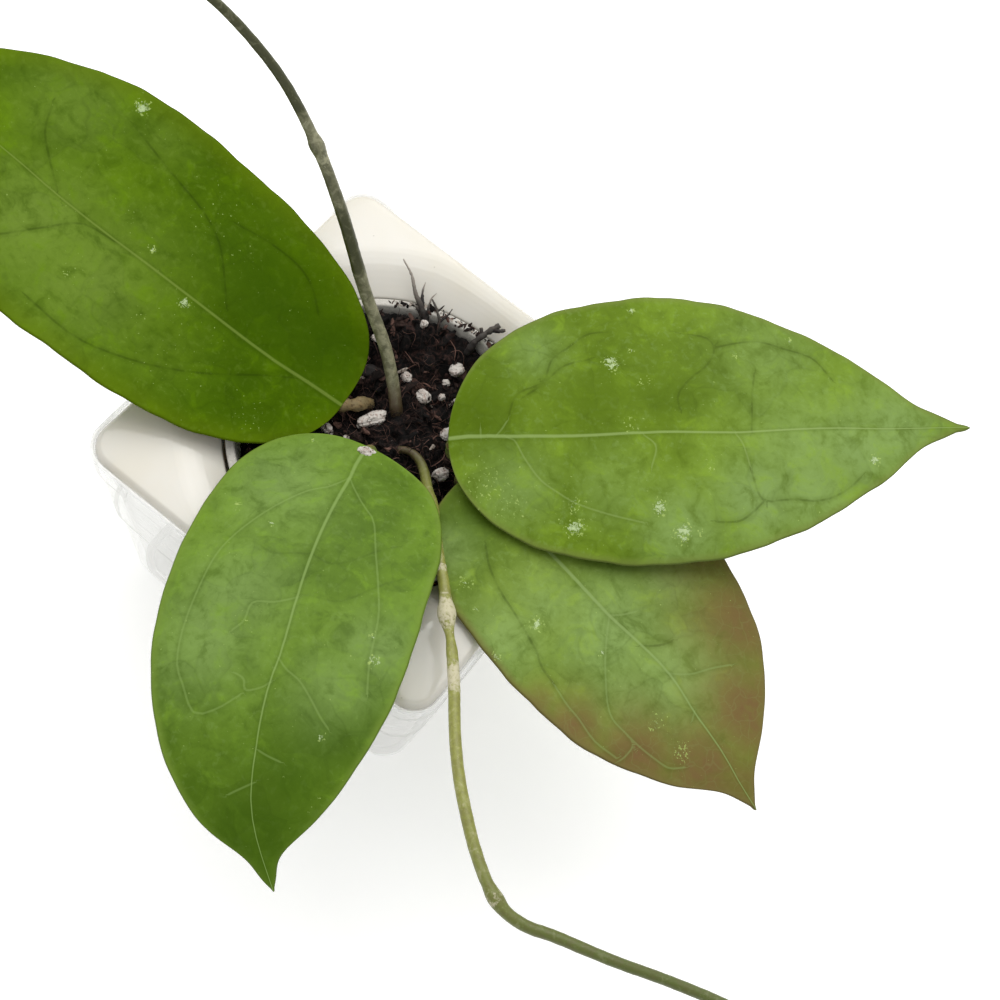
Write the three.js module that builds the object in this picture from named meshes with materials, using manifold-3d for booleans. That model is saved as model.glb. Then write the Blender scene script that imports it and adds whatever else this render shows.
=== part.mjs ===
// Potted hoya: a young vine with four large leathery leaves in a clear square container.
// Millimetres, +Z up. The origin is the centre of the container's flat underside, the sides of
// the container run along X and Y, and its front is at -Y.

import * as THREE from 'three';
import { mergeVertices } from 'three/addons/utils/BufferGeometryUtils.js';
import Module from 'manifold-3d';

const wasm = await Module();
wasm.setup();

// ---- driving dimensions -------------------------------------------------------------------

const POT_HEIGHT = 80;            // underside of the container to the top of the insert's plate
const PLATE_SIDE = 100;           // side of the insert's square plate
const PLATE_CORNER = 6.5;         // corner radius of the plate
const PLATE_THICKNESS = 1.8;
const SEAT_GAP = 0.3;             // free gap where two pieces touch
const CONTAINER_WALL = 1.7;
const LEDGE_HEIGHT = 70;          // where the container's thick rim band starts
const STEP_HEIGHT = 44;           // where the container's lower wall steps in
const RING_RADIUS = 38.5;         // outer radius of the inner cup's flat rim ring
const RING_HEIGHT = 77;           // top of that ring
const CUP_WALL = 1.0;
const CUP_FLOOR_HEIGHT = 18.4;    // underside of the inner cup
const SOIL_HEIGHT = 70;           // mean height of the soil's surface
const STEM_DEPTH = 14;            // how far stems and petioles reach below the soil's surface
const HOLE_CLEARANCE = 0.35;      // plain hole round each stem

const MIDDLE_THICKNESS = 1.5;     // leaf blade beside its midrib
const EDGE_THICKNESS = 0.8;       // leaf blade at its margin
const PETIOLE_RADIUS = 1.5;
const VINE_RADIUS = 1.55;
const RUNNER_RADIUS = 1.3;

// ---- helpers ------------------------------------------------------------------------------

const radians = THREE.MathUtils.degToRad;
const lerp = THREE.MathUtils.lerp;

/** A repeatable pseudo-random number from 0 to 1 for a whole number. */
function scatter(index) {
  const value = Math.sin(index * 127.1 + 11.7) * 43758.5453;
  return value - Math.floor(value);
}

/** An indexed geometry from a list of points and a list of triangles. */
function indexed(points, triangles) {
  const geometry = new THREE.BufferGeometry().setFromPoints(points);
  geometry.setIndex(triangles.flat());
  return geometry;
}

/** A closed skin over rings of equally many points, with a fan on a centre point at each end. */
function loft(rings) {
  const count = rings[0].length;
  const points = rings.flat();
  const triangles = [];
  for (let ring = 0; ring < rings.length - 1; ring++) {
    for (let i = 0; i < count; i++) {
      const next = (i + 1) % count;
      const a = ring * count + i;
      const b = ring * count + next;
      triangles.push([a, b, b + count], [a, b + count, a + count]);
    }
  }
  const last = (rings.length - 1) * count;
  const start = points.push(centroid(rings[0])) - 1;
  const end = points.push(centroid(rings[rings.length - 1])) - 1;
  for (let i = 0; i < count; i++) {
    const next = (i + 1) % count;
    triangles.push([start, next, i], [end, last + i, last + next]);
  }
  return indexed(points, triangles);
}

/** The mean of a list of points. */
function centroid(points) {
  const sum = new THREE.Vector3();
  points.forEach((point) => sum.add(point));
  return sum.divideScalar(points.length);
}

/** A round stem along a smooth curve, with a radius that depends on the share of its length. */
function sweep(curve, radiusAt, steps, sides) {
  const frames = curve.computeFrenetFrames(steps, false);
  const rings = [];
  for (let step = 0; step <= steps; step++) {
    const share = step / steps;
    const centre = curve.getPointAt(share);
    const radius = radiusAt(share);
    const ring = [];
    for (let side = 0; side < sides; side++) {
      const angle = (side / sides) * 2 * Math.PI;
      const across = frames.normals[step].clone().multiplyScalar(Math.cos(angle) * radius);
      const over = frames.binormals[step].clone().multiplyScalar(Math.sin(angle) * radius);
      ring.push(centre.clone().add(across).add(over));
    }
    rings.push(ring);
  }
  return loft(rings);
}

/** A three.js geometry as a closed solid for cutting and joining. */
function solid(geometry) {
  const bare = geometry.clone();
  bare.deleteAttribute('normal');
  bare.deleteAttribute('uv');
  const merged = mergeVertices(bare, 1e-4);
  const mesh = new wasm.Mesh({
    numProp: 3,
    vertProperties: new Float32Array(merged.attributes.position.array),
    triVerts: new Uint32Array(merged.index.array),
  });
  return new wasm.Manifold(mesh);
}

/** A solid as a three.js geometry. */
function geometryOf(body) {
  const mesh = body.getMesh();
  const geometry = new THREE.BufferGeometry();
  geometry.setAttribute('position', new THREE.BufferAttribute(mesh.vertProperties, 3));
  geometry.setIndex(new THREE.BufferAttribute(mesh.triVerts, 1));
  return geometry;
}

const plant = new THREE.Group();

/** Adds one named piece to the plant. */
function addPiece(name, geometry, color, roughness, extras = {}) {
  const shaded = geometry.clone();
  shaded.computeVertexNormals();
  const material = new THREE.MeshStandardMaterial({ color, roughness, metalness: 0, ...extras });
  const mesh = new THREE.Mesh(shaded, material);
  mesh.name = name;
  plant.add(mesh);
}

// ---- pot outlines -------------------------------------------------------------------------

const CORNER_POINTS = 4;          // points on each rounded corner
const SIDE_POINTS = 6;            // points along each straight side

/** Polar angles of the points that every outline of the pot uses, so that its rings match. */
function outlineAngles() {
  const half = PLATE_SIDE / 2;
  const cornerStart = Math.atan2(half - PLATE_CORNER, half);
  const angles = [];
  for (let quarter = 0; quarter < 4; quarter++) {
    const middle = quarter * Math.PI / 2;
    for (let i = 0; i < SIDE_POINTS; i++) {
      angles.push(middle + lerp(-cornerStart, cornerStart, i / SIDE_POINTS));
    }
    for (let i = 0; i < CORNER_POINTS; i++) {
      const turn = lerp(cornerStart, Math.PI / 2 - cornerStart, i / CORNER_POINTS);
      angles.push(middle + turn);
    }
  }
  return angles;
}

const ANGLES = outlineAngles();

/** Distance from the centre to a rounded square of a given half side, at a polar angle. */
function squareRadius(angle, half, corner) {
  const x = Math.abs(Math.cos(angle));
  const y = Math.abs(Math.sin(angle));
  const toSide = half / Math.max(x, y);
  if (toSide * Math.min(x, y) <= half - corner) {
    return toSide;
  }
  const centre = half - corner;
  const along = centre * (x + y);
  const aside = centre * (x - y);
  return along + Math.sqrt(corner * corner - aside * aside);
}

/** A ring of the pot at one height, from a function of the polar angle. */
function ringAt(height, radiusAt) {
  return ANGLES.map((angle) => {
    const radius = radiusAt(angle);
    return new THREE.Vector3(radius * Math.cos(angle), radius * Math.sin(angle), height);
  });
}

const squareRing = (half, corner, height) => ringAt(height, (angle) => squareRadius(angle, half, corner));
const roundRing = (radius, height) => ringAt(height, () => radius);

// ---- clear outer container ----------------------------------------------------------------

const PLATE_HALF = PLATE_SIDE / 2;
const RIM_BAND = 2;               // how far the container's rim band stands out of the plate
const INSERT_LIP = 4;             // height of the insert's turned-down lip
const CONTAINER_FLOOR = 2.2;

/** The container is one open vessel: up its outside, over its rim and down its inside. */
function containerGeometry() {
  const rim = PLATE_HALF + RIM_BAND;
  const inner = PLATE_HALF + SEAT_GAP;
  const top = POT_HEIGHT - 1;
  const seat = POT_HEIGHT - INSERT_LIP - SEAT_GAP;
  return loft([
    squareRing(44.5, 8, 0),
    squareRing(46.8, 9, 0.8),
    squareRing(47.9, 9.5, 3),
    squareRing(48.4, 9.5, 8),
    squareRing(49.4, 9, STEP_HEIGHT - 0.8),
    squareRing(50.1, 9, STEP_HEIGHT + 0.6),
    squareRing(rim - 1.1, 8.6, LEDGE_HEIGHT - 0.5),
    squareRing(rim - 0.1, 8.4, LEDGE_HEIGHT + 0.7),
    squareRing(rim, 8.4, top - 0.6),
    squareRing(rim - 0.5, 8, top),
    squareRing(inner + 0.4, 7.1, top),
    squareRing(inner, PLATE_CORNER + SEAT_GAP, top - 0.6),
    squareRing(inner, PLATE_CORNER + SEAT_GAP, seat),
    squareRing(inner - 1.3, 6.6, seat),
    squareRing(49.4 - CONTAINER_WALL, 7.4, STEP_HEIGHT - 0.8),
    squareRing(47.9 - CONTAINER_WALL, 7.8, 6),
    squareRing(45, 7.8, CONTAINER_FLOOR + 0.8),
    squareRing(43, 7, CONTAINER_FLOOR),
  ]);
}

addPiece('outer_container', containerGeometry(), 0xe9edf0, 0.08, { transparent: true, opacity: 0.3 });

// ---- cream drop-in insert -----------------------------------------------------------------

const OPENING_RADIUS = 39.4;      // round opening at the foot of the dished plate
const OPENING_HEIGHT = 75.8;
const FLAT_CORNER_RADIUS = 52;    // the plate stays flat outside this radius
const BASKET_FLOOR = 18;          // top of the basket's floor
const BASKET_BOTTOM_RADIUS = 29;
const DRAIN_RADIUS = 2.6;
const DRAIN_CIRCLE = 17;
const DRAIN_COUNT = 6;

/** Where the plate's flat edge and corners turn down into the dish. */
function foldRadius(angle) {
  return Math.min(squareRadius(angle, PLATE_HALF - 1.6, PLATE_CORNER - 1.6), FLAT_CORNER_RADIUS);
}

/** A ring on the dished slope: share 0 is the round opening, share 1 is the fold. */
function dishRing(share, sink) {
  const rise = POT_HEIGHT - OPENING_HEIGHT;
  const height = OPENING_HEIGHT + rise * Math.sin(share * Math.PI / 2) - sink;
  return ringAt(height, (angle) => lerp(OPENING_RADIUS + sink * 0.6, foldRadius(angle), share));
}

/** Upright round holes in a circle through a floor. */
function drainHoles(circle, radius, low, high) {
  const holes = [];
  for (let i = 0; i < DRAIN_COUNT; i++) {
    const angle = (i / DRAIN_COUNT) * 2 * Math.PI;
    const hole = new THREE.CylinderGeometry(radius, radius, high - low, 10);
    hole.rotateX(Math.PI / 2);
    hole.translate(circle * Math.cos(angle), circle * Math.sin(angle), (high + low) / 2);
    holes.push(solid(hole));
  }
  return holes;
}

/** The insert: the square plate with its lip, the dish, and the round basket below it. */
function insertGeometry() {
  const under = POT_HEIGHT - PLATE_THICKNESS;
  const lipFoot = POT_HEIGHT - INSERT_LIP;
  const wall = PLATE_THICKNESS;
  const body = loft([
    roundRing(BASKET_BOTTOM_RADIUS + wall - 1.5, BASKET_FLOOR - wall),
    roundRing(BASKET_BOTTOM_RADIUS + wall, BASKET_FLOOR),
    roundRing(OPENING_RADIUS + wall - 0.6, OPENING_HEIGHT - 6),
    dishRing(0.35, wall),
    ringAt(under, (angle) => foldRadius(angle) - 0.6),
    squareRing(PLATE_HALF - 1.5, PLATE_CORNER - 1.5, under - 0.2),
    squareRing(PLATE_HALF - 1.4, PLATE_CORNER - 1.4, lipFoot),
    squareRing(PLATE_HALF, PLATE_CORNER, lipFoot),
    squareRing(PLATE_HALF, PLATE_CORNER, POT_HEIGHT - 0.7),
    squareRing(PLATE_HALF - 0.7, PLATE_CORNER - 0.7, POT_HEIGHT),
    dishRing(1, 0),
    dishRing(0.66, 0),
    dishRing(0.33, 0),
    dishRing(0, 0),
    roundRing(OPENING_RADIUS - 0.5, OPENING_HEIGHT - 2.5),
    roundRing(BASKET_BOTTOM_RADIUS + 0.4, BASKET_FLOOR + 2),
    roundRing(BASKET_BOTTOM_RADIUS - 1.6, BASKET_FLOOR),
  ]);
  const holes = drainHoles(DRAIN_CIRCLE, DRAIN_RADIUS, BASKET_FLOOR - wall - 1, BASKET_FLOOR + 1);
  return geometryOf(holes.reduce((rest, hole) => rest.subtract(hole), solid(body)));
}

addPiece('drop_in_insert', insertGeometry(), 0xeee8d8, 0.22);

// ---- translucent inner cup ----------------------------------------------------------------

const CUP_TOP_RADIUS = 37.4;      // outside of the cup's wall just under its ring
const CUP_BOTTOM_RADIUS = 27.2;
const RING_THICKNESS = 1.1;
const ROUND_SIDES = 36;

/** Outer radius of the cup's wall at a height. */
function cupRadius(height) {
  const share = (height - CUP_FLOOR_HEIGHT) / (RING_HEIGHT - CUP_FLOOR_HEIGHT);
  return lerp(CUP_BOTTOM_RADIUS, CUP_TOP_RADIUS, share);
}

/** A solid of revolution about Z from points given as [radius, height], from axis to axis. */
function turned(profile, sides) {
  const points = profile.map(([radius, height]) => new THREE.Vector2(radius, height));
  const geometry = new THREE.LatheGeometry(points, sides);
  geometry.rotateX(Math.PI / 2);
  return geometry;
}

/** The cup: a thin tapered wall with a flat ring at its top and drain holes in its floor. */
function cupGeometry() {
  const underRing = RING_HEIGHT - RING_THICKNESS;
  const floor = CUP_FLOOR_HEIGHT + CUP_WALL;
  const body = turned([
    [0, CUP_FLOOR_HEIGHT],
    [CUP_BOTTOM_RADIUS - 1.2, CUP_FLOOR_HEIGHT],
    [CUP_BOTTOM_RADIUS, CUP_FLOOR_HEIGHT + 1.2],
    [cupRadius(underRing), underRing],
    [RING_RADIUS, underRing],
    [RING_RADIUS, RING_HEIGHT - 0.3],
    [RING_RADIUS - 0.3, RING_HEIGHT],
    [CUP_TOP_RADIUS - CUP_WALL + 0.3, RING_HEIGHT],
    [CUP_TOP_RADIUS - CUP_WALL - 0.1, RING_HEIGHT - 0.6],
    [CUP_BOTTOM_RADIUS - CUP_WALL, floor + 0.8],
    [CUP_BOTTOM_RADIUS - CUP_WALL - 0.8, floor],
    [0, floor],
  ], ROUND_SIDES);
  const holes = drainHoles(DRAIN_CIRCLE, DRAIN_RADIUS - 0.6, CUP_FLOOR_HEIGHT - 1, floor + 1);
  return geometryOf(holes.reduce((rest, hole) => rest.subtract(hole), solid(body)));
}

addPiece('inner_cup', cupGeometry(), 0xe8e6df, 0.3, { transparent: true, opacity: 0.75 });

// ---- stems --------------------------------------------------------------------------------

const STEM_SIDES = 8;
const HOLE_REACH = 6;             // how far above the soil's mean height a hole is cut

/** A swelling of a stem at a share of its length, as a bell of a given height and width. */
const swelling = (share, at, height, width) => height * Math.exp(-(((share - at) / width) ** 2));

const STEMS = {
  // rises from the middle of the soil and leans back over the upper left leaf
  vine_upright: {
    color: 0x8a8f6c,
    steps: 48,
    route: [
      [-1.2, 8.2, SOIL_HEIGHT - STEM_DEPTH], [-3, 9.2, 63], [-4.6, 10.2, 70], [-8.6, 13.2, 74.5],
      [-14.5, 16.5, 81], [-24.5, 19.4, 93], [-35.6, 23.1, 109], [-45.8, 25.6, 122],
      [-55.3, 25.7, 134.5], [-62.5, 24, 143], [-70.5, 20.5, 152], [-75, 17.4, 156.5],
    ],
    radiusAt: (share) => VINE_RADIUS + swelling(share, 0.647, 0.42, 0.018)
      - 1.0 * Math.max(0, (share - 0.96) / 0.04) ** 2,
  },
  // comes out of the soil thin and woody and arches out over the pot's front corner
  vine_runner: {
    color: 0x8f9a55,
    steps: 64,
    route: [
      [-2.5, 0.8, SOIL_HEIGHT - STEM_DEPTH], [-0.5, 0.8, 65], [2.6, 1.6, 70], [5.8, 2.7, 71.6],
      [9.2, 1.9, 72.8], [12.9, -0.3, 74.4], [17.4, -3.7, 77], [21.2, -7.1, 80], [26.2, -13, 83.5],
      [31.1, -19.7, 86], [35.2, -24.1, 87.5], [40.7, -30.2, 89], [46, -35.6, 90.5], [50.9, -41.3, 92],
      [59.3, -52.1, 95], [64.9, -58.2, 96.5], [70.4, -63.3, 98], [75.8, -67.7, 99], [81.5, -71.5, 100],
      [85.4, -73.2, 100.2], [88.9, -73.9, 100.2], [93.2, -73.4, 100], [98.6, -71.5, 100],
      [110.3, -68, 100], [122, -63.8, 99], [131.6, -60.8, 98.5], [140, -58.8, 98.6],
    ],
    radiusAt: (share) => RUNNER_RADIUS - 0.45 * (1 - THREE.MathUtils.smoothstep(share, 0.06, 0.16))
      + swelling(share, 0.365, 0.75, 0.012) - swelling(share, 0.402, 0.38, 0.012)
      + swelling(share, 0.73, 0.35, 0.012) - 0.8 * Math.max(0, (share - 0.975) / 0.025) ** 2,
  },
};

/** A smooth curve through hand-set points. */
function curveThrough(route) {
  return new THREE.CatmullRomCurve3(route.map(([x, y, z]) => new THREE.Vector3(x, y, z)), false, 'centripetal');
}

const soilCutters = [];

/** A stem's own solid; the foot of a slightly wider one is kept to cut its hole in the soil. */
function stemBody(curve, radiusAt, steps, sides) {
  const buried = curve.getSpacedPoints(steps).filter((point) => point.z < SOIL_HEIGHT + HOLE_REACH);
  const reach = (buried.length - 1) / steps;
  buried[0].z -= HOLE_CLEARANCE;
  const hole = sweep(
    new THREE.CatmullRomCurve3(buried, false, 'centripetal'),
    (share) => radiusAt(share * reach) + HOLE_CLEARANCE,
    buried.length - 1,
    STEM_SIDES,
  );
  soilCutters.push(solid(hole));
  return solid(sweep(curve, radiusAt, steps, sides));
}

for (const [name, stem] of Object.entries(STEMS)) {
  const body = stemBody(curveThrough(stem.route), stem.radiusAt, stem.steps, STEM_SIDES);
  addPiece(name, geometryOf(body), stem.color, 0.6);
}

// ---- leaves -------------------------------------------------------------------------------

const BLADE_ROWS = 20;            // stations from the blade's base to its tip
const BLADE_COLUMNS = 8;          // strips from margin to margin
const BASE_ROUNDNESS = 2.4;
const MIDRIB_GROOVE = 0.35;       // how deep the midrib lies in the upper face
const MIDRIB_STEPS = 26;
const MIDRIB_END = 0.92;          // share of the blade where the midrib fades out

// Angles in degrees: heading is the midrib's direction seen from above, counted from +X, and
// bend is how far it turns by the tip. rise is the slope at the base, and droop is how much of
// it is lost by the tip. bank lifts the left half. cup lifts both margins, and lobe draws
// the margins back behind the base. wave is the height of the margin's undulation.
const LEAVES = {
  leaf_back_left: {
    color: 0x5d7a1e, foot: [-9.8, 8.6], base: [-13.8, -0.4, 75], length: 130, left: 32.6, right: 31,
    widest: 0.46, tipFullness: 2.73, tipPoint: 1.0, heading: 189, bend: -1, rise: 23, droop: 12,
    bank: -4, cup: 1, lobe: 2.7, wave: 0.6, waves: 2.5,
  },
  leaf_front_left: {
    color: 0x5f8a34, foot: [-1.6, -4.4], base: [0.1, -6.5, 80], length: 109, left: 28.2, right: 28.2,
    widest: 0.36, tipFullness: 2.9, tipPoint: 1.16, heading: -82, bend: 38, rise: 24, droop: 42,
    bank: 7, cup: -3, lobe: 8.5, wave: 0.5, waves: 3,
  },
  leaf_right: {
    color: 0x6a9138, foot: [14.4, 7.4], base: [13.3, 6.1, 84], length: 129, left: 36.7, right: 32.1,
    widest: 0.4, tipFullness: 2.0, tipPoint: 1.4, heading: 37.5, bend: 6, rise: 17, droop: 22,
    bank: 3, cup: -3, lobe: 2.6, wave: 0.5, waves: 2.5,
  },
  leaf_front_right: {
    color: 0x6c8c3a, foot: [20, 5], base: [21.3, 3.9, 79], length: 104, left: 31.4, right: 28.3,
    widest: 0.42, tipFullness: 2.74, tipPoint: 1.33, heading: -6.5, bend: -10, rise: 14, droop: 30,
    bank: 2, cup: -1, lobe: 2.6, wave: 0.5, waves: 2.5,
  },
};

/** Width of a blade at a share of its length, as a share of its greatest width. */
function bladeWidth(leaf, share) {
  if (share < leaf.widest) {
    const toBase = (leaf.widest - share) / leaf.widest;
    return Math.sqrt(Math.max(0, 1 - toBase ** BASE_ROUNDNESS));
  }
  const toTip = (share - leaf.widest) / (1 - leaf.widest);
  return Math.max(0, 1 - toTip ** leaf.tipFullness) ** leaf.tipPoint;
}

/** Direction of a midrib at a share of its length. */
function midribDirection(leaf, share) {
  const heading = radians(leaf.heading + leaf.bend * share);
  const slope = radians(leaf.rise - leaf.droop * share);
  return new THREE.Vector3(
    Math.cos(slope) * Math.cos(heading),
    Math.cos(slope) * Math.sin(heading),
    Math.sin(slope),
  );
}

/** Point, forward, left and up directions of a blade at a share of its length. */
function bladeStation(leaf, share) {
  const pieces = 60;
  const point = new THREE.Vector3(...leaf.base);
  for (let i = 0; i < pieces; i++) {
    const middle = ((i + 0.5) / pieces) * share;
    point.addScaledVector(midribDirection(leaf, middle), (leaf.length * share) / pieces);
  }
  const forward = midribDirection(leaf, share);
  const heading = radians(leaf.heading + leaf.bend * share);
  const level = new THREE.Vector3(-Math.sin(heading), Math.cos(heading), 0);
  const left = level.applyAxisAngle(forward, radians(leaf.bank));
  const up = new THREE.Vector3().crossVectors(forward, left);
  return { point, forward, left, up };
}

/** The blade: one thin curved grid, split alike on both faces and closed along its margin. */
function bladeGeometry(leaf) {
  const upper = [];
  const lower = [];
  for (let row = 0; row <= BLADE_ROWS; row++) {
    const share = (1 - Math.cos((row / BLADE_ROWS) * Math.PI)) / 2;
    const width = bladeWidth(leaf, share);
    const { point, forward, left, up } = bladeStation(leaf, share);
    for (let column = 0; column <= BLADE_COLUMNS; column++) {
      const across = 1 - (2 * column) / BLADE_COLUMNS;
      const halfWidth = across > 0 ? leaf.left : leaf.right;
      const least = lerp(PETIOLE_RADIUS, 0.5, share);
      const aside = across * Math.max(halfWidth * width, least);
      const outward = Math.abs(across) * width;
      const margin = leaf.wave * outward ** 3 * Math.sin(2 * Math.PI * leaf.waves * share + across);
      const groove = MIDRIB_GROOVE * Math.exp(-((aside / 2.5) ** 2)) * Math.min(1, width * 2);
      const back = leaf.lobe * outward ** 2 * (1 - share) ** 4;
      const middle = point.clone()
        .addScaledVector(left, aside)
        .addScaledVector(up, leaf.cup * outward ** 2 + margin - groove)
        .addScaledVector(forward, -back);
      const half = lerp(MIDDLE_THICKNESS, EDGE_THICKNESS, Math.abs(across)) / 2;
      upper.push(middle.clone().addScaledVector(up, half));
      lower.push(middle.clone().addScaledVector(up, -half));
    }
  }
  const points = [...upper, ...lower];
  const offset = upper.length;
  const rowLength = BLADE_COLUMNS + 1;
  const triangles = [];
  for (let row = 0; row < BLADE_ROWS; row++) {
    for (let column = 0; column < BLADE_COLUMNS; column++) {
      const a = row * rowLength + column;
      const b = a + 1;
      const c = a + rowLength;
      const d = c + 1;
      triangles.push([a, b, c], [b, d, c]);
      triangles.push([a + offset, c + offset, b + offset], [b + offset, c + offset, d + offset]);
    }
  }
  const border = [];
  for (let column = 0; column < BLADE_COLUMNS; column++) {
    border.push(column);
  }
  for (let row = 0; row < BLADE_ROWS; row++) {
    border.push(row * rowLength + BLADE_COLUMNS);
  }
  for (let column = BLADE_COLUMNS; column > 0; column--) {
    border.push(BLADE_ROWS * rowLength + column);
  }
  for (let row = BLADE_ROWS; row > 0; row--) {
    border.push(row * rowLength);
  }
  border.forEach((from, i) => {
    const to = border[(i + 1) % border.length];
    triangles.push([from, from + offset, to], [to, from + offset, to + offset]);
  });
  return indexed(points, triangles);
}

/** The petiole rises out of the soil, turns into the blade and runs on below it as the midrib. */
function petioleCurve(leaf) {
  const [x, y] = leaf.foot;
  const base = new THREE.Vector3(...leaf.base);
  const points = [
    new THREE.Vector3(x, y, SOIL_HEIGHT - STEM_DEPTH),
    new THREE.Vector3(x, y, SOIL_HEIGHT),
    new THREE.Vector3(x, y, SOIL_HEIGHT).lerp(base, 0.6),
  ];
  for (const share of [0.02, 0.15, 0.35, 0.6, 0.8, MIDRIB_END]) {
    const { point, up } = bladeStation(leaf, share);
    points.push(point.addScaledVector(up, -0.5 - MIDRIB_GROOVE));
  }
  return new THREE.CatmullRomCurve3(points, false, 'centripetal');
}

for (const [name, leaf] of Object.entries(LEAVES)) {
  const curve = petioleCurve(leaf);
  const stalk = (SOIL_HEIGHT - leaf.base[2] + 2 * STEM_DEPTH + 14) / curve.getLength();
  const radiusAt = (share) => lerp(PETIOLE_RADIUS, 0.45, Math.max(0, (share - stalk) / (1 - stalk)));
  const ribbed = stemBody(curve, radiusAt, MIDRIB_STEPS, 6).add(solid(bladeGeometry(leaf)));
  addPiece(name, geometryOf(ribbed), leaf.color, 0.45);
}

// ---- perlite, bark and roots --------------------------------------------------------------

/** Height of the soil's rough surface at a place. */
function soilSurface(x, y) {
  const coarse = 0.8 * Math.sin(x * 0.23 + 1.1) * Math.cos(y * 0.19 - 0.6);
  const fine = 0.5 * Math.sin(x * 0.71 - y * 0.53) + 0.35 * Math.cos(x * 0.47 + y * 0.93);
  const heap = 2.6 * THREE.MathUtils.smoothstep(y - 0.35 * x, 24, 40);
  return SOIL_HEIGHT + coarse + fine + heap;
}

// Each grain: place [x, y], size [length, width, height], turn in degrees, and how much of its
// height stands above the soil.
const PERLITE = [
  { place: [-1.5, 17.2], size: [4.2, 3.8, 3.4], turn: 20, proud: 0.8 },
  { place: [1.8, 20.6], size: [2.2, 1.9, 1.8], turn: 60, proud: 0.75 },
  { place: [-8, 18.4], size: [3.2, 2.9, 2.6], turn: 10, proud: 0.7 },
  { place: [0.2, 24.6], size: [2.3, 2.1, 2], turn: 40, proud: 0.8 },
  { place: [0.4, 28.4], size: [4.4, 3.6, 3.2], turn: 75, proud: 0.8 },
  { place: [5.4, 22.6], size: [2.4, 2, 1.9], turn: 130, proud: 0.7 },
  { place: [-7.2, 3.6], size: [8.6, 3.9, 3.4], turn: 62, proud: 0.8 },
  { place: [-13.6, -5.8], size: [4, 2.6, 2.4], turn: -10, proud: 0.7 },
  { place: [-8.6, -4.6], size: [1.9, 1.7, 1.6], turn: 80, proud: 0.8 },
  { place: [9.6, 13.2], size: [4.6, 3.4, 3.2], turn: 70, proud: 0.85 },
  { place: [15.4, 1.6], size: [2.6, 2.3, 2.2], turn: 15, proud: 0.75 },
  { place: [-13, 31], size: [2.4, 2.1, 2], turn: 95, proud: 0.75 },
  { place: [-20, 20.6], size: [3, 2.4, 2.2], turn: 30, proud: 0.7 },
  { place: [-24, -14], size: [3.4, 2.8, 2.6], turn: 140, proud: 0.7 },
  { place: [2, -24], size: [3.6, 2.9, 2.6], turn: 55, proud: 0.7 },
  { place: [27, 12], size: [3.2, 2.6, 2.4], turn: 5, proud: 0.7 },
];
const BARK = [
  { place: [-16, 13.6], size: [7.5, 4, 2.4], turn: 35, proud: 0.6 },
  { place: [8.8, 29], size: [8, 4.2, 2.6], turn: 110, proud: 0.6 },
  { place: [-22, 6], size: [6, 3.4, 2.2], turn: 150, proud: 0.6 },
  { place: [-20, -24], size: [7.4, 4.4, 2.6], turn: 75, proud: 0.6 },
];
const SEAT = 0.35;                // free gap between a loose grain and its dent in the soil
const FINE_LUMP = 3.5;            // longer lumps than this have more faces

/** A rough rounded lump: an icosahedron with its corners moved in and out. */
function lump(size, turn, seed, grow) {
  const geometry = new THREE.IcosahedronGeometry(1, size[0] > FINE_LUMP ? 1 : 0);
  geometry.deleteAttribute('normal');
  geometry.deleteAttribute('uv');
  const merged = mergeVertices(geometry, 1e-4);
  const position = merged.attributes.position;
  const point = new THREE.Vector3();
  const halves = new THREE.Vector3(...size).divideScalar(2).addScalar(grow);
  for (let i = 0; i < position.count; i++) {
    point.fromBufferAttribute(position, i).multiplyScalar(0.9 + 0.2 * scatter(seed * 50 + i));
    point.multiply(halves);
    position.setXYZ(i, point.x, point.y, point.z);
  }
  merged.rotateZ(radians(turn));
  return merged;
}

/** Sets loose lumps into dents in the soil, each as a piece of its own. */
function addLumps(prefix, list, firstSeed, color) {
  list.forEach(({ place: [x, y], size, turn, proud }, i) => {
    const height = soilSurface(x, y) + size[2] * (proud - 0.5);
    const seed = firstSeed + i;
    soilCutters.push(solid(lump(size, turn, seed, SEAT).translate(x, y, height)));
    addPiece(`${prefix}_${i + 1}`, lump(size, turn, seed, 0).translate(x, y, height), color, 0.95);
  });
}

addLumps('perlite', PERLITE, 1, 0xe9e4dc);
addLumps('bark_chip', BARK, 101, 0x2e2019);

const ROOTS = {
  root_long: {
    radius: 0.5,
    route: [[-13.6, 29, 64], [-14.6, 30.6, 73], [-16.2, 32.4, 78], [-18.5, 35, 79.8], [-21.5, 38.4, 81.6], [-26.8, 40.8, 82.6]],
  },
  root_short: {
    radius: 0.45,
    route: [[-7, 27, 65], [-8.6, 31.4, 73], [-10.4, 34, 78], [-13, 36.6, 79.6], [-17, 39, 81]],
  },
  twig: {
    radius: 0.9,
    route: [[-1.4, 29.6, 64], [-1.6, 32, 72.5], [-1.4, 34.6, 78.2], [-0.4, 37.6, 79.8], [0.8, 40.6, 81.4]],
  },
};

for (const [name, root] of Object.entries(ROOTS)) {
  const taper = (share) => root.radius * (1 - 0.35 * share);
  addPiece(name, geometryOf(stemBody(curveThrough(root.route), taper, 12, 6)), 0x3a2a20, 0.95);
}

// ---- soil ---------------------------------------------------------------------------------

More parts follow.
